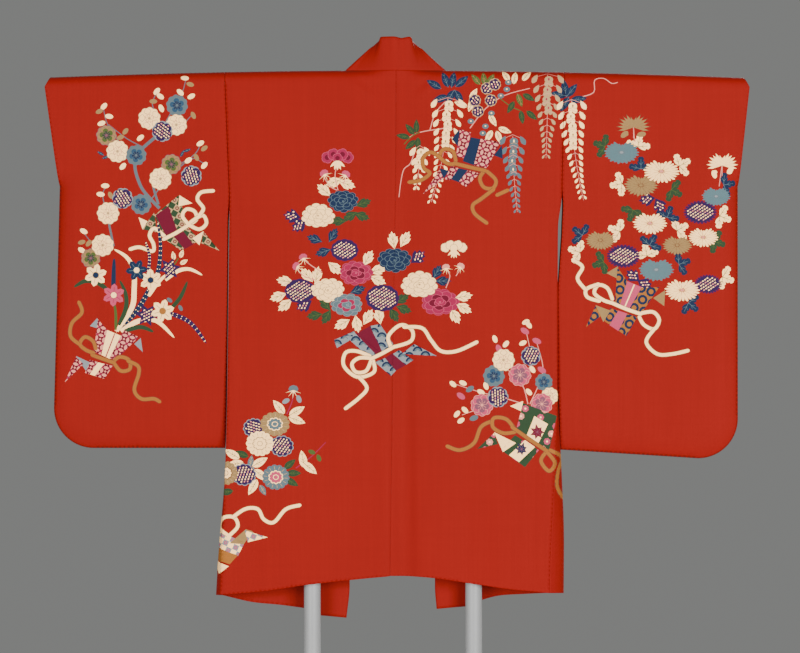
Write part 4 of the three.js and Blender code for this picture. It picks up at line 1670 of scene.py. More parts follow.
@dataclass
class Recipe:
    """A material in the making, with short ways to add, set and link its nodes."""

    name: str
    material: bpy.types.Material = field(init=False)
    shader: bpy.types.Node = field(init=False)

    def __post_init__(self) -> None:
        """Starts the material."""
        self.material = bpy.data.materials.new(self.name)
        self.material.use_nodes = True
        self.shader = self.material.node_tree.nodes["Principled BSDF"]

    def put(self, node: bpy.types.Node, values: dict[str | int, object]) -> bpy.types.Node:
        """Sets a node's inputs."""
        for socket, value in values.items():
            node.inputs[socket].default_value = value
        return node

    def add(self, kind: str, values: dict[str | int, object] | None = None) -> bpy.types.Node:
        """Adds a node of a kind and sets its inputs."""
        return self.put(self.material.node_tree.nodes.new(f"ShaderNode{kind}"), values or {})

    def link(self, source: bpy.types.NodeSocket, node: bpy.types.Node, socket: str | int) -> None:
        """Links an output to an input of a node."""
        self.material.node_tree.links.new(source, node.inputs[socket])

    def noise(self, scale: tuple[float, float, float], detail: float = 2.0) -> bpy.types.NodeSocket:
        """Adds noise on the piece's own coordinates, at a scale along each axis."""
        mapping = self.add("Mapping", {"Scale": scale})
        self.link(self.add("TexCoord").outputs["Object"], mapping, "Vector")
        texture = self.add("TexNoise", {"Scale": 1.0, "Detail": detail})
        self.link(mapping.outputs["Vector"], texture, "Vector")
        return texture.outputs["Fac"]

    def bump(self, height: bpy.types.NodeSocket, distance: float, strength: float) -> None:
        """Raises the surface by a height."""
        bump = self.add("Bump", {"Distance": distance, "Strength": strength})
        self.link(height, bump, "Height")
        self.link(bump.outputs["Normal"], self.shader, "Normal")


@dataclass(frozen=True)
class CrepeSilk:
    """Matte crepe silk: its dyes, its fine grain and its upright streaks."""

    name: str = "crepe_silk"
    roughness: float = 0.72
    sheen: float = 0.02
    sheen_tint: tuple[float, float, float, float] = (1.0, 0.62, 0.5, 1.0)
    grain: float = 950.0
    grain_height: float = 0.00022
    streaks: float = 0.07

    def make(self) -> bpy.types.Material:
        """Makes the material."""
        recipe = Recipe(self.name)
        recipe.put(recipe.shader, {"Roughness": self.roughness, "Specular IOR Level": 0.08})
        sheen = {"Sheen Weight": self.sheen, "Sheen Roughness": 0.5, "Sheen Tint": self.sheen_tint}
        recipe.put(recipe.shader, sheen)
        warp, weft, cloud = recipe.noise((260, 260, 3.5), 3), recipe.noise((9, 9, 200)), recipe.noise(
            (7, 7, 5)
        )
        shares = ((warp, 1.0), (weft, 0.5), (cloud, 0.9))
        dark = 1 - self.streaks * sum(share for _, share in shares)
        level: bpy.types.NodeSocket | None = None
        for texture, share in shares:
            scaled = recipe.add("Math", {1: 2 * self.streaks * share, 2: dark})
            scaled.operation = "MULTIPLY_ADD"
            recipe.link(texture, scaled, 0)
            if level is not None:
                recipe.link(level, scaled, 2)
            level = scaled.outputs[0]
        dye = recipe.add("VertexColor")
        dye.layer_name = "dye"
        tinted = recipe.add("HueSaturation")
        recipe.link(level, tinted, "Value")
        recipe.link(dye.outputs["Color"], tinted, "Color")
        recipe.link(tinted.outputs["Color"], recipe.shader, "Base Color")
        recipe.bump(recipe.noise((self.grain, self.grain, 0.6 * self.grain)), self.grain_height, 0.6)
        return recipe.material


@dataclass(frozen=True)
class SatinPaint:
    """Light grey satin paint on steel, faintly uneven."""

    name: str = "stand_paint"
    colour: tuple[float, float, float, float] = (0.215, 0.215, 0.213, 1.0)
    roughness: float = 0.42

    def make(self) -> bpy.types.Material:
        """Makes the material."""
        recipe = Recipe(self.name)
        cloud = recipe.noise((22, 22, 22), 4)
        ramp = recipe.add("ValToRGB")
        for stop, share in zip(ramp.color_ramp.elements, (0.94, 1.04)):
            stop.color = tuple(share * c for c in self.colour[:3]) + (1.0,)
        recipe.link(cloud, ramp, "Fac")
        recipe.link(ramp.outputs["Color"], recipe.shader, "Base Color")
        rough = recipe.add("MapRange", {"To Min": self.roughness - 0.06, "To Max": self.roughness + 0.08})
        recipe.link(cloud, rough, "Value")
        recipe.link(rough.outputs["Result"], recipe.shader, "Roughness")
        recipe.bump(recipe.noise((900, 900, 900)), 0.0001, 0.3)
        return recipe.material


@dataclass(frozen=True)
class StagePaper:
    """The matte paper of the floor."""

    name: str
    colour: tuple[float, float, float, float]

    def make(self) -> bpy.types.Material:
        """Makes the material."""
        recipe = Recipe(self.name)
        look = {"Base Color": self.colour, "Roughness": 0.9, "Specular IOR Level": 0.1}
        recipe.put(recipe.shader, look)
        return recipe.material


# ---------------------------------------------------------------- stand and studio


def taken(name: str) -> bpy.types.Object:
    """Names the piece just added and brings it to the origin, unturned and unscaled."""
    piece = bpy.context.object
    piece.name = name
    bpy.ops.object.transform_apply(location=True, rotation=True, scale=True)
    return piece


@dataclass
class Stand:
    """The painted steel stand: a rod on two posts and a base plate."""

    hang: Hang
    post_radius: float = 0.015
    post_x: float = 0.146
    base: tuple[float, float, float] = (0.560, 0.340, 0.008)

    def rod(self) -> bpy.types.Object:
        """The rod through the sleeves, whose ends droop a little."""
        h = self.hang
        bpy.ops.object.select_all(action="DESELECT")
        bpy.ops.mesh.primitive_cylinder_add(
            vertices=64,
            radius=h.bar_radius / METRE,
            depth=2 * h.bar_half / METRE,
            rotation=(0, math.pi / 2, 0),
        )
        rod = taken("rod")
        shape = bmesh.new()
        shape.from_mesh(rod.data)
        along = [e for e in shape.edges if abs(e.verts[0].co.x - e.verts[1].co.x) > 0.1]
        bmesh.ops.subdivide_edges(shape, edges=along, cuts=24)
        for vert in shape.verts:
            vert.co.z += h.bar(vert.co.x * METRE) / METRE
        shape.to_mesh(rod.data)
        shape.free()
        self.finish_edges(rod, 0.0015)
        return rod

    def post(self, side: Side) -> bpy.types.Object:
        """An upright from the base to under the rod."""
        h = self.hang
        foot = self.base[2] + h.seam / METRE
        head = (h.bar(self.post_x * METRE) - h.bar_radius - h.seam) / METRE
        bpy.ops.object.select_all(action="DESELECT")
        bpy.ops.mesh.primitive_cylinder_add(
            vertices=72,
            radius=self.post_radius,
            depth=head - foot,
            location=(side.value * self.post_x, 0, (head + foot) / 2),
        )
        post = taken(f"stand_post_{side.word}")
        self.finish_edges(post, 0.0008)
        return post

    def plate(self) -> bpy.types.Object:
        """The base plate with its rounded corners."""
        width, depth, height = self.base
        bpy.ops.object.select_all(action="DESELECT")
        bpy.ops.mesh.primitive_cube_add(size=1, location=(0, 0, height / 2), scale=(width, depth, height))
        plate = taken("stand_plate")
        bpy.ops.object.mode_set(mode="EDIT")
        bpy.ops.mesh.select_mode(type="EDGE")
        bpy.ops.mesh.select_all(action="DESELECT")
        bpy.ops.object.mode_set(mode="OBJECT")
        for edge in plate.data.edges:
            a, b = (plate.data.vertices[i].co for i in edge.vertices)
            edge.select = abs(a.z - b.z) > 0.5 * height
        bpy.ops.object.mode_set(mode="EDIT")
        bpy.ops.mesh.bevel(offset=0.04, segments=12)
        bpy.ops.object.mode_set(mode="OBJECT")
        self.finish_edges(plate, 0.0015)
        return plate

    def finish_edges(self, piece: bpy.types.Object, width: float) -> None:
        """Rounds a piece's sharp edges and shades it smooth."""
        bevel = piece.modifiers.new("edges", "BEVEL")
        bevel.width = width
        bevel.segments = 3
        bevel.limit_method = "ANGLE"
        bevel.angle_limit = math.radians(40)
        bpy.context.view_layer.objects.active = piece
        bpy.ops.object.modifier_apply(modifier=bevel.name)
        bpy.ops.object.shade_smooth_by_angle(angle=math.radians(35))

    def build(self) -> dict[str, bpy.types.Object]:
        """Makes the pieces, by the node that each replaces."""
        made = {"crossbar": self.rod(), "base_plate": self.plate()}
        for side in Side:
            made[f"post_{side.word}"] = self.post(side)
        return made


class Lamp(NamedTuple):
    """A square soft light: its place and its aim in metres, the side of its square and its watts."""

    name: str
    place: tuple[float, float, float]
    aim: tuple[float, float, float]
    size: float
    watts: float


@dataclass
class Studio:
    """The floor, the soft lights and the camera."""

    camera_place: tuple[float, float, float] = (0.0127, -4.5, 0.9594)
    lens: float = 111.88
    grey: tuple[float, float, float, float] = (0.205, 0.208, 0.203, 1.0)
    floor_grey: tuple[float, float, float, float] = (0.42, 0.42, 0.41, 1.0)
    floor_size: float = 5.4
    lamps: tuple[Lamp, ...] = (
        Lamp("key", (2.2, -4.2, 1.15), (0, 0, 0.95), 2.0, 396),
        Lamp("fill", (-2.4, -4.2, 0.85), (0, 0, 0.95), 2.2, 285),
        Lamp("front", (1.2, 3.4, 2.4), (0, 0, 1.0), 2.2, 230),
    )

    def camera(self) -> None:
        """Sets the camera level, square on to the jacket's back."""
        data = bpy.data.cameras.new("camera")
        data.lens = self.lens
        data.sensor_width = 36.0
        camera = bpy.data.objects.new("camera", data)
        camera.location = self.camera_place
        camera.rotation_euler = (math.pi / 2, 0, 0)
        bpy.context.scene.collection.objects.link(camera)
        bpy.context.scene.camera = camera

    def light(self, lamp: Lamp) -> None:
        """Sets a lamp."""
        data = bpy.data.lights.new(lamp.name, "AREA")
        data.shape = "SQUARE"
        data.size = lamp.size
        data.energy = lamp.watts
        light = bpy.data.objects.new(lamp.name, data)
        light.location = lamp.place
        light.rotation_euler = (Vector(lamp.aim) - Vector(lamp.place)).to_track_quat("-Z", "Y").to_euler()
        bpy.context.scene.collection.objects.link(light)

    def floor(self) -> None:
        """Lays the floor, which ends where the grey beyond begins."""
        bpy.ops.object.select_all(action="DESELECT")
        bpy.ops.mesh.primitive_plane_add(size=self.floor_size, location=(0, 0, 0))
        floor = taken("floor")
        floor.data.materials.append(StagePaper("floor_paper", self.floor_grey).make())
        floor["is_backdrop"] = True

    def build(self) -> None:
        """Sets everything up."""
        self.camera()
        self.floor()
        for lamp in self.lamps:
            self.light(lamp)
        world = bpy.data.worlds.new("grey")
        world.use_nodes = True
        world.node_tree.nodes["Background"].inputs["Color"].default_value = self.grey
        bpy.context.scene.world = world


# ---------------------------------------------------------------- the dyed design


@dataclass(frozen=True)
class Chart:
    """The painter's squared paper over the jacket's back, its squares counted across and down.

    Attributes:
        sketch: the sketch that takes the dye.
        square: the side of a square in millimetres.
        centre: the squares left of the centre seam.
        top: the squares above the shoulder fold.
    """

    sketch: Sketch
    square: float = 1.8
    centre: float = 393.0
    top: float = 79.2

    def at(self, across: float, down: float, turn: float = 0.0, press: float = 1.0) -> Brush:
        """A brush at a place on the paper, drawing in squares."""
        x, y = (across - self.centre) * self.square, (self.top - down) * self.square
        return Brush(self.sketch, x, y, turn, self.square, press)

    @staticmethod
    def risen(points: Sequence[Flat]) -> list[Flat]:
        """The paper's points with their heights counted up, for a brush at its corner."""
        return [(x, -y) for x, y in points]

    def fill(self, dye: Dye, *corners: Flat) -> None:
        """Fills a shape given by its corners."""
        self.at(0, 0).fill(self.risen(corners), dye)

    def paper(self, sheet: Sheet, *corners: Flat) -> None:
        """Lays a piece of patterned paper given by its corners."""
        sheet.cut(self.at(0, 0), self.risen(corners))

    def line(self, width: float, dye: Dye, *points: Flat, tip: float = 1.0) -> None:
        """Draws a smooth line."""
        self.at(0, 0).curve(self.risen(points), width, dye, tip, 4)

    def blade(self, width: float, dye: Dye, *points: Flat, dappled: bool = False) -> None:
        """Draws a grass blade from its root."""
        blade(self.at(0, 0), self.risen(points), width, dye, dappled)

    def cord(self, dye: Dye, *points: Flat) -> None:
        """Draws a cord."""
        cord(self.at(0, 0), self.risen(points), dye)

    def leaves(
        self, length: float, width: float, dye: Dye, vein: Dye, *rows: tuple[float, float, float]
    ) -> None:
        """Draws leaves, each by the place of its middle and its turn."""
        for x, y, turn in rows:
            leaf(self.at(x, y, turn).at(-0.5 * length, 0), length, width, dye, vein)

    def buds(self, radius: float, dye: Dye, *places: Flat) -> None:
        """Draws oval buds, leaning this way and that, each on a dark calyx."""
        for x, y in places:
            lean = self.at(x, y, 60 * math.sin(0.7 * x + 0.4 * y) - 10)
            lean.disc(-1.1 * radius, 0, 0.3 * radius, Dye.BROWN, 6)
            lean.disc(0, 0, 1.25 * radius, dye, 12, 0.6)


GREEN_CHECK = Sheet(Paper.CHECK, Dye.SAND, Dye.PINE, Dye.WINE, 6.0, -28)
PINK_LATTICE = Sheet(Paper.LATTICE, Dye.BLUSH, Dye.WINE, Dye.ROSE, 7.6, -16)
BLUE_WAVES = Sheet(Paper.WAVES, Dye.DOVE, Dye.NAVY, Dye.SLATE, 9.0, -30)
GOLD_RINGS = Sheet(Paper.RINGS, Dye.OCHRE, Dye.NAVY, Dye.OCHRE, 10.5, -20)
PINE_FLOWERS = Sheet(Paper.FLOWERS, Dye.PINE, Dye.PINK, Dye.BLUSH, 8.8, -30)
GREY_CHECK = Sheet(Paper.CHECK, Dye.DOVE, Dye.CREAM, Dye.PINK, 5.6, -25)


def plum_bouquet(chart: Chart) -> None:
    """The plum branch of the left sleeve, in checked paper."""
    chart.line(
        3.2, Dye.BARK, (162, 131), (143, 147), (136, 155), (134.6, 168), (139, 183), (145, 193),
        (159, 208),
    )
    chart.line(2.4, Dye.BARK, (158, 204), (153, 187), (153, 176))
    chart.line(2.2, Dye.BARK, (113, 246), (108.5, 224), (107, 214))
    for points in (
        ((160, 131), (172, 110), (182, 92), (186, 77)),
        ((143, 147), (126, 138), (108, 124)),
        ((137, 155), (126, 150), (108, 126), (103, 108)),
        ((160, 133), (178, 128), (192, 114)),
        ((150, 200), (172, 172), (190, 158), (205, 164)),
        ((178, 168), (196, 152), (200, 142)),
        ((107, 215), (102, 195), (106, 186)),
        ((104, 246), (92, 243), (82, 231)),
        ((158, 118), (152, 104), (157, 91)),
    ):
        chart.line(1.2, Dye.BARK, *points, tip=0.6)
    cream = (
        (180, 92), (191, 96), (156.5, 91), (160, 96), (161, 108), (184.5, 77.6), (140, 137.5),
        (101, 123),
    )
    chart.buds(3.3, Dye.CREAM, *cream, (108.7, 116), (103.5, 106), (122.4, 166), (188, 160), (204, 165))
    chart.buds(3.3, Dye.CREAM, (200, 143), (104.7, 185.5), (100, 194), (83, 231), (81, 250))
    chart.buds(3.1, Dye.TAN, (190, 84), (153, 101), (193, 115), (99, 111), (125, 131), (120, 137), (196, 157))
    chart.buds(3.1, Dye.TAN, (204, 148), (110, 195), (81, 242), (88, 243))
    leaves = ((100, 153, 150), (105, 157, 200), (182, 153, 60), (187, 150, 20))
    chart.leaves(8, 3, Dye.NAVY, Dye.SLATE, *leaves)
    for x, y, r, bloom in (
        (106, 135, 10.5, TAN_PLUM),
        (117, 151, 11.5, CREAM_PLUM),
        (135.7, 155, 10.5, BLUE_PLUM),
        (149, 118, 11.5, CREAM_PLUM),
        (176.7, 105, 11, BLUE_PLUM),
        (176, 124.5, 11, CREAM_PLUM),
        (171, 164, 10.5, TAN_PLUM),
        (160, 178.5, 11.5, CREAM_PLUM),
        (107.5, 213, 11.5, CREAM_PLUM),
        (140.6, 204, 10.5, BLUE_PLUM),
        (90, 258, 10, TAN_PLUM),
        (102, 245, 11.5, CREAM_PLUM),
    ):
        plum(chart.at(x, y, 3 * x), r, bloom)
    for x, y in ((162, 131), (191, 175.6), (122, 198)):
        dappled_plum(chart.at(x, y, 5 * x), 10.5)
    chart.fill(Dye.CREAM, (138, 217), (147, 221), (142, 229))
    chart.paper(GREEN_CHECK, (142, 229), (147, 221), (154, 212), (156, 232))
    chart.paper(GREEN_CHECK, (154, 215), (178, 195), (188, 226), (164, 238))
    chart.fill(Dye.WINE, (155, 215), (168, 206), (177, 231), (166, 237))
    chart.fill(Dye.CREAM, (179, 195), (192, 203), (178, 206))
    chart.paper(GREEN_CHECK, (164, 239), (186, 226), (200, 240), (180, 250))
    chart.fill(Dye.WINE, (173, 236), (182, 230), (193, 244), (184, 249))
    chart.fill(Dye.CREAM, (203, 231), (192, 238), (199, 245))
    chart.paper(GREEN_CHECK, (203, 231), (219, 250.5), (201, 243))
    chart.cord(Dye.CREAM, (189, 225), (182, 216), (186, 209), (194, 211), (196, 219), (188, 225))
    chart.cord(Dye.CREAM, (189, 225), (199, 229), (206, 223), (202, 215), (190, 222))
    chart.cord(Dye.CREAM, (199, 215), (203, 208), (197, 199), (201, 192), (213, 190.5))
    chart.cord(
        Dye.CREAM, (164, 236), (154, 228), (149, 235), (153, 244), (152, 251), (139, 247), (129.5, 249)
    )
    chart.cord(Dye.CREAM, (163, 239), (175, 233), (187, 225.5))


def narcissus_bouquet(chart: Chart) -> None:
    """The narcissus and grasses of the left sleeve, in pink lattice paper."""
    chart.blade(
        5.2, Dye.NAVY, (115, 331), (133.5, 314), (148, 291), (157, 273), (160, 246), (157, 221),
        dappled=True,
    )
    chart.blade(4.6, Dye.NAVY, (112.6, 290), (113, 274), (113.5, 258))
    chart.blade(5.0, Dye.PINE, (106, 289), (96, 282), (84, 281), (73, 287))
    chart.blade(3.4, Dye.INDIGO, (147, 275), (149, 257), (145, 241), dappled=True)
    chart.blade(5.2, Dye.CREAM, (116, 331), (131, 308), (133.5, 290), (133, 270), (126, 257), (113.5, 249))
    chart.blade(4.6, Dye.PINE, (118, 325), (125, 309), (125, 294), (119, 280))
    chart.blade(4.0, Dye.CREAM, (148, 296), (156, 284), (166, 274))
    chart.blade(4.0, Dye.CREAM, (165, 280), (177, 271), (189, 269), (202, 275))
    chart.blade(5.0, Dye.CREAM, (120, 331), (138, 321), (156, 321), (174, 338))
    chart.blade(4.2, Dye.PINE, (170, 309), (180, 297), (187, 281))
    chart.blade(4.6, Dye.PINE, (124, 331), (140, 327), (153, 332))
    chart.blade(4.6, Dye.INDIGO, (166, 312), (189, 322), (206, 343.5), dappled=True)
    chart.blade(3.0, Dye.MOSS, (115, 330), (115, 314), (113, 300))
    chart.line(2.0, Dye.MOSS, (140, 322), (150, 314), (164, 309))
    chart.line(1.6, Dye.MOSS, (168, 270), (174, 264), (178, 258), tip=0.6)
    for x, y, turn in ((181, 254, 70), (173, 256, 100), (183, 262, 30)):
        leaf(chart.at(x, y, turn).at(-4, 0), 9, 4.4, Dye.CREAM, Dye.TAN)
    chart.buds(2.6, Dye.SLATE, (169, 300), (180, 308))
    narcissus(chart.at(95, 275, 8), 11.5, WHITE_NARCISSUS)
    narcissus(chart.at(150, 280, 20), 11.5, WHITE_NARCISSUS)
    dappled_star(chart.at(169, 268.5, 10), 11.5)
    narcissus(chart.at(136, 270, -6), 11, BLUE_NARCISSUS)
    narcissus(chart.at(113, 295, 14), 11.5, PINK_NARCISSUS)
    dappled_star(chart.at(146, 315, -8), 12)
    narcissus(chart.at(162, 311, 4), 12, TAN_NARCISSUS)
    chart.fill(Dye.DOVE, (96.5, 318), (89, 326), (99, 329))
    chart.fill(Dye.DOVE, (133.5, 344), (140, 338), (142, 352))
    chart.paper(PINK_LATTICE, (97, 319), (106.5, 330), (100.6, 355), (93, 352))
    chart.fill(Dye.CREAM, (106.5, 330), (123, 337), (109, 359), (100.6, 355))
    chart.line(1.2, Dye.ROSE, (114, 333.5), (105, 357))
    chart.paper(PINK_LATTICE, (123, 330), (138, 337), (115, 360), (108.5, 358.5))
    chart.paper(PINK_LATTICE, (89, 360), (112, 366), (103.5, 379), (84, 373))
    chart.fill(Dye.CREAM, (97, 362.5), (103, 364), (94, 376), (89, 374.5))
    chart.fill(Dye.DOVE, (75, 356), (89, 362.5), (85, 371))
    chart.paper(PINK_LATTICE, (75, 357), (82.5, 364), (63.5, 382.5))
    chart.cord(Dye.OCHRE, (93, 353), (85, 350), (79, 344), (84, 337), (92, 341), (95, 349))
    chart.cord(Dye.OCHRE, (78, 344), (69.5, 336), (71, 323), (81, 312.5), (78, 302))
    chart.cord(Dye.OCHRE, (113, 363), (120, 371), (129, 369), (128, 360), (119, 357), (113, 361))
    chart.cord(
        Dye.OCHRE, (127, 361), (137, 366), (138, 374), (133.5, 390), (140.5, 399), (153, 399),
        (159, 402),
    )
    chart.cord(Dye.OCHRE, (91, 355), (102, 359), (113.5, 363))


def peony_bouquet(chart: Chart) -> None:
    """The peonies of the back, in paper with waves."""
    cream = (
        (334, 182, 200), (347, 184, -20), (324, 190, 140), (368, 258, 60), (335, 268, -40),
        (378, 270, 15),
    )
    more = (
        (378, 280, -25), (393, 240, 100), (405, 239, 60), (285, 281, 170), (278, 296.5, 200),
        (285, 305, 220),
    )
    last = (
        (317, 275, 80), (307, 275, 130), (464, 296.5, 10), (464, 308, -30), (455, 316, -60),
        (342, 324, 210),
    )
    for x, y, turn in (*cream, *more, *last, (357, 324, -80), (368, 317, 60), (379, 315.5, 100)):
        peony_leaf(chart.at(x, y, turn).at(-9, 0), 18, Dye.CREAM, Dye.MOSS)
    for x, y, turn in (
        (314.5, 239, 160), (333, 235, 60), (323, 252, 200), (358, 290, 20), (437, 272, 60),
        (443, 281, 0),
    ):
        peony_leaf(chart.at(x, y, turn).at(-8.5, 0), 17, Dye.NAVY, Dye.SLATE)
    green = ((363.6, 203, 20), (362, 216, -20), (350, 216, 210), (338, 221, 180), (314.5, 315.5, 190))
    for x, y, turn in (
        *green, (326.5, 317, 240), (325, 304, 130), (402, 299, 30), (404, 309, -20), (394, 315, -60)
    ):
        peony_leaf(chart.at(x, y, turn).at(-8.5, 0), 17, Dye.PINE, Dye.MOSS)
    for x, y, turn in ((292, 216, 170), (299, 225, 220), (418, 257, 40), (304, 305, 210)):
        dappled_leaf(chart.at(x, y, turn).at(-9, 0), 18)
    for points in (
        ((337, 164), (335, 176), (338, 190)),
        ((324, 177), (330, 186), (337, 190)),
        ((346, 177), (343, 184)),
        ((303, 259), (312, 266), (322, 272)),
        ((296, 268), (304, 276), (316, 280)),
        ((446, 269), (450, 276), (446, 288)),
        ((461, 268), (456, 276)),
    ):
        chart.line(0.9, Dye.BLUSH, *points)
    small_bud(chart.at(324, 173, 30), 4.6, Dye.PINK)
    small_bud(chart.at(346, 174, -30), 4.6, Dye.PINK)
    small_bud(chart.at(303, 257, 20), 4.4, Dye.PINK)
    small_bud(chart.at(296, 266, 60), 4.4, Dye.PINK)
    small_bud(chart.at(446, 267, 10), 4.0, Dye.BLUSH)
    small_bud(chart.at(461, 266, -30), 4.0, Dye.BLUSH)
    side_peony(chart.at(337.5, 159), 30, PINK_PEONY)
    side_peony(chart.at(454, 249), 25, CREAM_PEONY)
    for x, y, radius in ((344.6, 250, 14), (300, 291, 15.5), (382.5, 298, 17)):
        dappled_round(chart.at(x, y, 0, 0.8), radius, Dye.PURPLE, 60, 0.9)
    for x, y, radius, bloom in (
        (343, 201, 15.5, NAVY_PEONY),
        (318, 215.6, 17, CREAM_PEONY),
        (356, 273, 17, PINK_PEONY),
        (394.6, 260, 17, NAVY_PEONY),
        (328, 290, 17, CREAM_PEONY),
        (347, 305, 16, GREY_PEONY),
        (440, 302, 19, PINK_PEONY),
        (419.5, 284.5, 18.5, CREAM_PEONY),
    ):
        peony(chart.at(x, y, 0, 0.72).at(0, 0, 7 * x), radius, bloom)
    chart.paper(BLUE_WAVES, (334, 340), (354, 331), (357, 336), (337, 348))
    chart.paper(BLUE_WAVES, (345.5, 336), (357.5, 334), (381, 353), (370, 358.5))
    chart.fill(Dye.WINE, (356, 334), (370, 326), (383, 352), (376.5, 355))
    chart.paper(BLUE_WAVES, (370, 326), (380, 324), (395, 346.5), (382.5, 352))
    chart.paper(BLUE_WAVES, (375, 362), (385, 358), (396, 370.6), (391, 376))
    chart.fill(Dye.WINE, (385, 358), (393, 353), (406, 365), (396, 370.6))
    chart.paper(BLUE_WAVES, (393, 354), (399, 350), (413.5, 360), (406, 365))
    chart.paper(BLUE_WAVES, (402, 354), (414, 344), (437, 356))
    chart.cord(
        Dye.CREAM, (370, 356), (356, 351), (345.5, 353), (344, 366), (357.5, 377), (374, 372),
        (373, 360),
    )
    chart.cord(Dye.CREAM, (370, 358), (359, 358), (352, 364), (356, 372), (366, 371), (371, 361))
    chart.cord(Dye.CREAM, (359, 377), (367, 388), (359, 398), (345.5, 408.5))
    chart.cord(Dye.CREAM, (391, 347), (388.5, 336), (400.6, 325), (412, 330), (411, 341), (394, 347))
    chart.cord(Dye.CREAM, (404, 327), (422, 328), (431, 340), (441, 351), (457, 351), (477, 342))
    chart.cord(Dye.CREAM, (370.5, 359), (382, 353.5), (394.6, 346.5))


def wisteria_bouquet(chart: Chart) -> None:
    """The wisteria of the back, over the right shoulder, in pink lattice paper."""
    for points in (
        ((415, 150), (410.6, 163), (404, 169), (401, 181), (399, 197)),
        ((580, 97), (594, 92), (595, 80), (604, 78), (612, 83), (618, 82)),
        ((430, 130), (436, 112), (450, 97)),
        ((470, 128), (486, 108), (505, 95), (530, 88)),
        ((444, 128), (420, 132), (408, 138)),
    ):
        chart.line(1.0, Dye.BLUSH, *points, tip=0.8)
    chart.line(1.0, Dye.MOSS, (520, 110), (511, 106), (500, 98))
    chart.line(1.0, Dye.MOSS, (420, 132), (412, 136), (404, 144))
    navy = ((434, 84, 150), (445.5, 79, 110), (453, 79, 80), (462, 81, 40), (440, 98.5, 200), (450, 97, 240))
    chart.leaves(
        17, 7.6, Dye.NAVY, Dye.SLATE, *navy, (459, 97, 300), (565, 87, 100), (572, 90, 50),
        (579, 99, 10),
    )
    chart.leaves(17, 7.6, Dye.NAVY, Dye.SLATE, (565, 104, 240), (559, 94, 170))
    chart.leaves(14, 6, Dye.MOSS, Dye.TAN, (476, 79, 130), (484, 78, 95), (491, 79, 60), (520, 100, -70))
    chart.leaves(
        14, 6, Dye.PINE, Dye.MOSS, (529, 97, -30), (511, 107, -120), (522, 117, -80), (532, 115, -40)
    )
    chart.leaves(
        14, 6, Dye.PINE, Dye.MOSS, (403, 136, 170), (410, 129, 130), (416.5, 126, 90),
        (410.6, 144.5, 220),
    )
    chart.leaves(14, 6, Dye.PINE, Dye.MOSS, (418, 144, 270))
    cream = (
        (473.7, 94, 60), (461, 104, 160), (471, 105, 250), (493, 120, 300), (505, 130, -20),
        (499, 137, -70),
    )
    chart.leaves(
        14, 6, Dye.CREAM, Dye.MOSS, *cream, (489, 136, 240), (506, 75, 120), (515, 77, 80),
        (527, 75, 50),
    )
    raceme(chart.at(448, 98), 104, Dye.CREAM, Dye.TAN, -0.16, 15)
    raceme(chart.at(420, 148), 42, Dye.CREAM, Dye.TAN, -0.1, 7)
    raceme(chart.at(548, 74), 84, Dye.SAND, Dye.ROSE, -0.02, 14)
    raceme(chart.at(513, 136), 76, Dye.SLATE, Dye.CREAM, 0.06, 10.5)
    raceme(chart.at(572, 100), 100, Dye.CREAM, Dye.TAN, 0.12, 12.5)
    for x, y, turn in ((487, 88, 0), (495, 84, 60), (491, 100, 20), (475, 100, 80), (478, 111, 40)):
        dappled_plum(chart.at(x, y, turn), 6.2, Dye.SAND)
    for x, y in ((508.6, 82), (507, 89), (501, 95.5), (491.6, 113), (471, 121), (485.6, 126), (483, 133)):
        flower = chart.at(x, y)
        flower.disc(0, 0, 3.4, Dye.SLATE, 9, 0.8)
        flower.disc(0, 0.3, 0.9, Dye.CREAM, 5)
    chart.paper(PINK_LATTICE, (460, 129), (471, 132), (466, 158), (456, 157))
    chart.fill(Dye.NAVY, (471, 137), (481, 139), (474, 165), (463, 161))
    chart.paper(PINK_LATTICE, (481, 138), (500.5, 142), (487, 168), (474, 165))
    chart.fill(Dye.NAVY, (494, 155), (502, 145), (503, 158.6))
    chart.fill(Dye.NAVY, (456, 133), (460, 129), (458, 146), (452, 139))
    chart.paper(PINK_LATTICE, (451, 166), (459, 168), (451, 180), (445, 179))
    chart.fill(Dye.NAVY, (459, 168), (468, 170), (459, 182), (451, 179))
    chart.paper(PINK_LATTICE, (468, 170), (480, 173), (466, 187), (458.5, 182))
    chart.fill(Dye.NAVY, (439.5, 168), (449, 170.5), (443.5, 179))
    chart.paper(PINK_LATTICE, (439.5, 170.5), (444, 178), (423, 194))
    chart.cord(Dye.OCHRE, (456, 161), (453, 151), (444, 149), (440, 156), (447, 163), (455, 164))
    chart.cord(Dye.OCHRE, (441, 158), (431, 152), (423, 158), (424, 168), (430, 173), (421, 180), (409, 182))
    chart.cord(Dye.OCHRE, (485, 170), (480, 178), (484, 187), (493, 188), (496, 180), (487, 171))
    chart.cord(Dye.OCHRE, (494, 189), (481, 199), (473, 205), (475, 213.6), (487, 223))
    chart.cord(Dye.OCHRE, (497, 195), (508, 190))
    chart.cord(Dye.OCHRE, (454, 163), (470, 167), (485.6, 170.5))


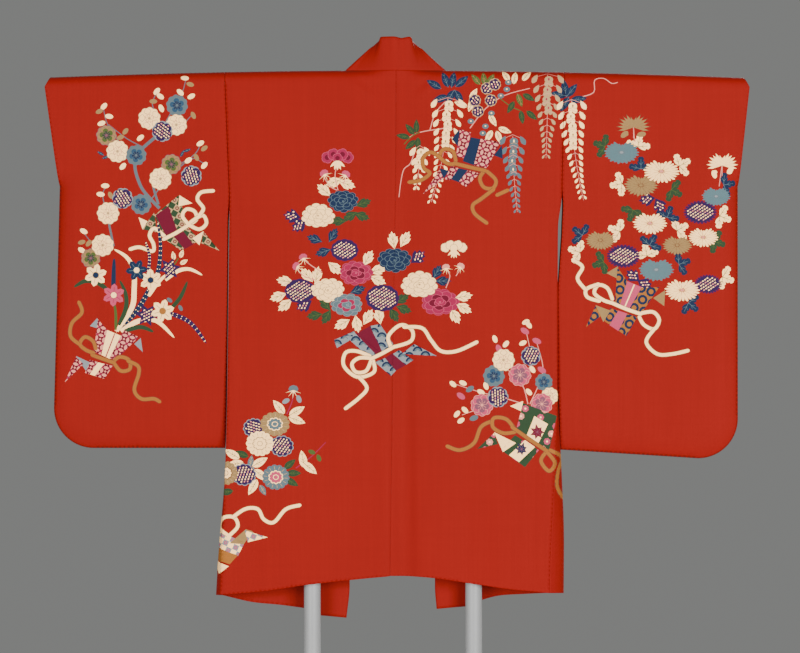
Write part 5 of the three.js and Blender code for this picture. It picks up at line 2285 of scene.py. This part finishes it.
def chrysanthemum_bouquet(chart: Chart) -> None:
    """The chrysanthemums of the right sleeve, in ringed paper."""
    chart.line(0.9, Dye.BLUSH, (634, 128), (635, 142))
    chart.line(0.9, Dye.BLUSH, (723, 163), (720, 186))
    cream = (
        (639, 143, 80), (683, 164, 30), (619, 184, 190), (724, 217, -20), (681, 228.5, 30),
        (617, 230, 160),
    )
    for x, y, turn in (*cream, (647, 252, 100), (577, 251, 160), (727, 278, -20)):
        mum_leaf(chart.at(x, y, turn).at(-7.5, 0), 16.5, Dye.CREAM, Dye.MOSS)
    navy = ((641.5, 165, 90), (728, 184, 10), (669, 214, 70), (580, 233, 140), (652, 242, 60), (683, 263, 20))
    for x, y, turn in (*navy, (692, 305, -40)):
        mum_leaf(chart.at(x, y, turn).at(-7.5, 0), 16.5, Dye.NAVY, Dye.SLATE)
    for x, y, turn in ((602, 145, 160), (675, 191, -30), (632.5, 213, 250), (718, 242, -20), (601, 263, 200)):
        mum_leaf(chart.at(x, y, turn).at(-7.5, 0), 16.5, Dye.PINE, Dye.MOSS)
    for x, y, turn in ((648, 199, 190), (660, 205, 300), (634, 276, 140), (645, 284, 330)):
        dappled_leaf(chart.at(x, y, turn).at(-8, 0), 17)
    chart.buds(3.6, Dye.TAN, (625, 134), (642, 134))
    chart.buds(3.4, Dye.CREAM, (715, 174), (731, 170))
    side_chrysanthemum(chart.at(634, 127), 15, TAN_MUM)
    side_chrysanthemum(chart.at(723, 165), 15, CREAM_MUM)
    for x, y, radius in ((701, 212, 17), (624, 256, 17), (709, 284, 14)):
        dappled_chrysanthemum(chart.at(x, y, 0, 0.7), radius)
    for x, y, radius, bloom in (
        (622, 152, 18, SKY_MUM),
        (641.5, 185, 17, TAN_MUM),
        (662, 171, 18.5, CREAM_MUM),
        (717, 196, 15, SKY_MUM),
        (704, 237, 15.5, CREAM_MUM),
        (678, 245, 15, TAN_MUM),
        (650.5, 223, 17.5, CREAM_MUM),
        (601, 240, 15, TAN_MUM),
        (657, 269.5, 18, SKY_MUM),
        (683, 290, 18, CREAM_MUM),
    ):
        chrysanthemum(chart.at(x, y, 0, 0.66), radius, bloom)
    chart.fill(Dye.TAN, (618.6, 266), (607, 273), (619, 279))
    chart.fill(Dye.TAN, (654, 298), (666, 290), (665, 306))
    chart.paper(GOLD_RINGS, (618, 267), (628.5, 282), (620.5, 307), (615.5, 303))
    chart.fill(Dye.PINK, (628, 281), (642.5, 287), (629.5, 310.5), (620, 307))
    chart.line(1.2, Dye.CREAM, (635, 284.5), (625, 308))
    chart.paper(GOLD_RINGS, (642, 287.5), (660, 287), (642, 313.5), (629, 310.5))
    chart.paper(GOLD_RINGS, (611, 308), (638, 317), (627, 336), (605, 321))
    chart.fill(Dye.PINK, (619, 310.5), (628, 313.5), (619, 331), (610, 325))
    chart.fill(Dye.TAN, (596, 305), (611, 310.5), (604, 322))
    chart.paper(GOLD_RINGS, (596, 306), (601.5, 316), (586.5, 327))
    chart.cord(Dye.CREAM, (613, 303), (604, 300), (595, 293), (599, 285), (608, 288), (613, 299))
    chart.cord(Dye.CREAM, (599, 284), (587, 289), (588, 297), (600, 301))
    chart.cord(Dye.CREAM, (586.6, 290), (578, 278.5), (583, 267), (575, 260.5))
    chart.cord(Dye.CREAM, (642, 313), (654, 312), (660, 320), (655, 329), (645, 325), (640, 317))
    chart.cord(Dye.CREAM, (655, 329), (647, 342), (658, 354), (673.5, 354), (689, 350.6))
    chart.cord(Dye.CREAM, (613, 303), (627, 309), (641.5, 314))


def rosette_bouquet(chart: Chart) -> None:
    """The rosettes at the back's lower left, which run on past its edge."""
    chart.line(1.2, Dye.ROSE, (296, 468), (312, 456), (326, 442), tip=0.6)
    chart.line(1.2, Dye.ROSE, (287, 414), (292, 402), (294, 392), tip=0.6)
    green = ((241.5, 454, 160), (290, 464, 40), (294, 473, 0), (292, 482, -30), (226, 492, 190))
    chart.leaves(15, 7, Dye.PINE, Dye.MOSS, *green)
    cream = (
        (279, 407, 130), (297, 411, 30), (297, 420, -20), (232, 454, 150), (235, 464, 190),
        (260, 462, 30),
    )
    chart.leaves(
        18, 8, Dye.CREAM, Dye.MOSS, *cream, (261, 475, -40), (253, 487, 240), (303, 459, 100),
        (310, 468, -40),
    )
    chart.leaves(12, 6, Dye.SLATE, Dye.SAND, (251, 461, 80), (263, 490, -60))
    small_bud(chart.at(293.5, 389), 5, Dye.SLATE)
    chart.buds(3.2, Dye.DOVE, (286, 401), (299, 399))
    chart.buds(3.0, Dye.MOSS, (312, 452), (319, 458))
    for x, y, radius in ((254, 428, 11), (282, 446, 12), (244, 474.5, 12.5)):
        dappled_round(chart.at(x, y, 9 * x, 0.9), radius, Dye.DOVE, 48, 1.0)
    rosette(chart.at(226, 473), 12, Dye.TAN, Dye.CREAM, Dye.BROWN)
    rosette(chart.at(275, 424, 10, 0.82), 15, Dye.TAN, Dye.SLATE, Dye.CREAM)
    rosette(chart.at(260, 443.5, 0, 0.9), 14, Dye.CREAM, Dye.CREAM, Dye.SAND)
    rosette(chart.at(276, 477, 20, 0.92), 13.8, Dye.SLATE, Dye.PINK, Dye.CREAM)
    chart.paper(GREY_CHECK, (212, 529), (245, 542), (238, 556), (208, 543))
    chart.fill(Dye.TAN, (230, 543), (246, 529), (253, 531), (244, 544))
    chart.paper(GREY_CHECK, (245, 530), (268, 537), (248, 542))
    chart.fill(Dye.OCHRE, (214, 547), (238, 555), (230, 564), (210, 558))
    chart.fill(Dye.CREAM, (214, 560), (229, 566), (219, 574))
    chart.cord(Dye.CREAM, (228, 535), (220, 528), (223, 518), (234, 517), (238, 526), (230, 535))
    chart.cord(
        Dye.CREAM, (233, 517), (246, 508.6), (258, 509), (264, 519), (274, 522), (286, 509), (300, 505)
    )


def maple_bouquet(chart: Chart) -> None:
    """The plum and maple at the back's lower right, which run on under the sleeve."""
    for points in (
        ((528, 404), (522, 384), (505, 366), (497, 345)),
        ((530, 404), (540, 382), (543, 366), (537, 343)),
        ((524, 404), (504, 398), (480, 392), (455, 384)),
        ((506, 402), (482, 408), (462, 415)),
        ((523, 384), (531, 360), (526, 330)),
        ((532, 404), (546, 400), (556, 396)),
    ):
        chart.line(1.1, Dye.BLUSH, *points, tip=0.6)
    cream = (
        (495, 339), (506, 344), (523, 343), (532.6, 369.5), (453, 384), (463, 383), (486, 386),
        (481, 392),
    )
    chart.buds(
        3.2, Dye.CREAM, *cream, (529, 392), (465, 410), (457, 414), (461, 420.5), (526, 322), (529, 325)
    )
    chart.buds(3.8, Dye.PINK, (525, 331), (537, 341), (542, 370), (461, 396), (499, 349))
    chart.buds(3.6, Dye.SLATE, (470, 389), (474, 418))
    for x, y, r, bloom in (
        (494, 376, 11, BLUE_PLUM),
        (503.6, 360, 11.5, CREAM_PLUM),
        (520, 375, 11.5, PINK_PLUM),
        (544, 382, 9, BLUE_PLUM),
        (482, 405, 11.5, PINK_PLUM),
        (550, 396, 9, CREAM_PLUM),
        (542, 404, 11, PINK_PLUM),
    ):
        plum(chart.at(x, y, 4 * x), r, bloom)
    dappled_plum(chart.at(531, 356, 12), 10)
    dappled_plum(chart.at(498, 397, 40), 10.5)
    chart.fill(Dye.CREAM, (510, 406), (523, 401), (523, 412))
    chart.paper(PINE_FLOWERS, (523, 403), (557, 416), (549, 451), (516, 430))
    chart.fill(Dye.CREAM, (534.5, 416), (548, 424), (538, 444), (526, 437))
    maple(chart.at(537.5, 432, 10), 8.5, Dye.WINE)
    chart.paper(PINE_FLOWERS, (515, 435), (539, 450), (525, 467), (501, 450))
    chart.fill(Dye.CREAM, (525, 440), (535, 447), (519, 462), (509, 455))
    maple(chart.at(521.5, 449, -20), 7.5, Dye.NAVY)
    chart.fill(Dye.CREAM, (494, 432), (516, 443), (503, 452))
    chart.paper(PINE_FLOWERS, (494, 433), (498, 444), (477, 449))
    chart.cord(Dye.OCHRE, (447, 446), (460, 450), (474, 443), (481, 427), (492, 421))
    chart.cord(Dye.OCHRE, (514, 428), (506, 419), (494, 418), (493, 427), (503, 433), (515, 432))
    chart.cord(Dye.OCHRE, (546, 452), (541, 461), (549, 471), (555, 463), (548, 453))
    chart.cord(Dye.OCHRE, (550, 450), (562, 458), (558, 472), (557, 486), (563, 498))
    chart.cord(Dye.OCHRE, (512, 427), (529, 439), (547, 451))


def draw_design(sketch: Sketch) -> None:
    """Draws all the bouquets, the later ones over the earlier."""
    chart = Chart(sketch)
    for bouquet in (
        plum_bouquet,
        narcissus_bouquet,
        wisteria_bouquet,
        peony_bouquet,
        chrysanthemum_bouquet,
        rosette_bouquet,
        maple_bouquet,
    ):
        bouquet(chart)


# ---------------------------------------------------------------- assembly


def dress(piece: bpy.types.Object, material: bpy.types.Material, node: str) -> None:
    """Gives a piece its finish and its place in the frame."""
    piece.data.materials.clear()
    piece.data.materials.append(material)
    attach(piece, "root")
    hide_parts(node)


def corners() -> list[list[float]]:
    """The object's box as plain numbers."""
    return [list(corner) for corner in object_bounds()]


def main() -> None:
    """Builds the dressed jacket on its stand."""
    logging.basicConfig(level=logging.INFO, format="%(message)s")
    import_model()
    Studio().build()
    hang = Hang()
    silk = CrepeSilk().make()
    sketch = Sketch(hang.droop)
    draw_design(sketch)
    LOG.info("the design has %d shapes", len(sketch.shapes))
    for side in Side:
        body = BodyLength(hang, side)
        piece = body.build(sketch)
        dress(piece, silk, f"body_{side.word}")
        sleeve = Sleeve(hang, side)
        piece = sleeve.build(sketch)
        dress(piece, silk, f"sleeve_{side.word}")
        gusset = Gusset(hang, side)
        piece = gusset.build(sketch)
        dress(piece, silk, f"gusset_{side.word}")
        rests_on = [f"silk_body_{side.word}"]
    collar = Collar(hang)
    piece = collar.build()
    dress(piece, silk, "collar")
    paint = SatinPaint().make()
    for node, piece in Stand(hang).build().items():
        dress(piece, paint, node)


if __name__ == "__main__":
    main()
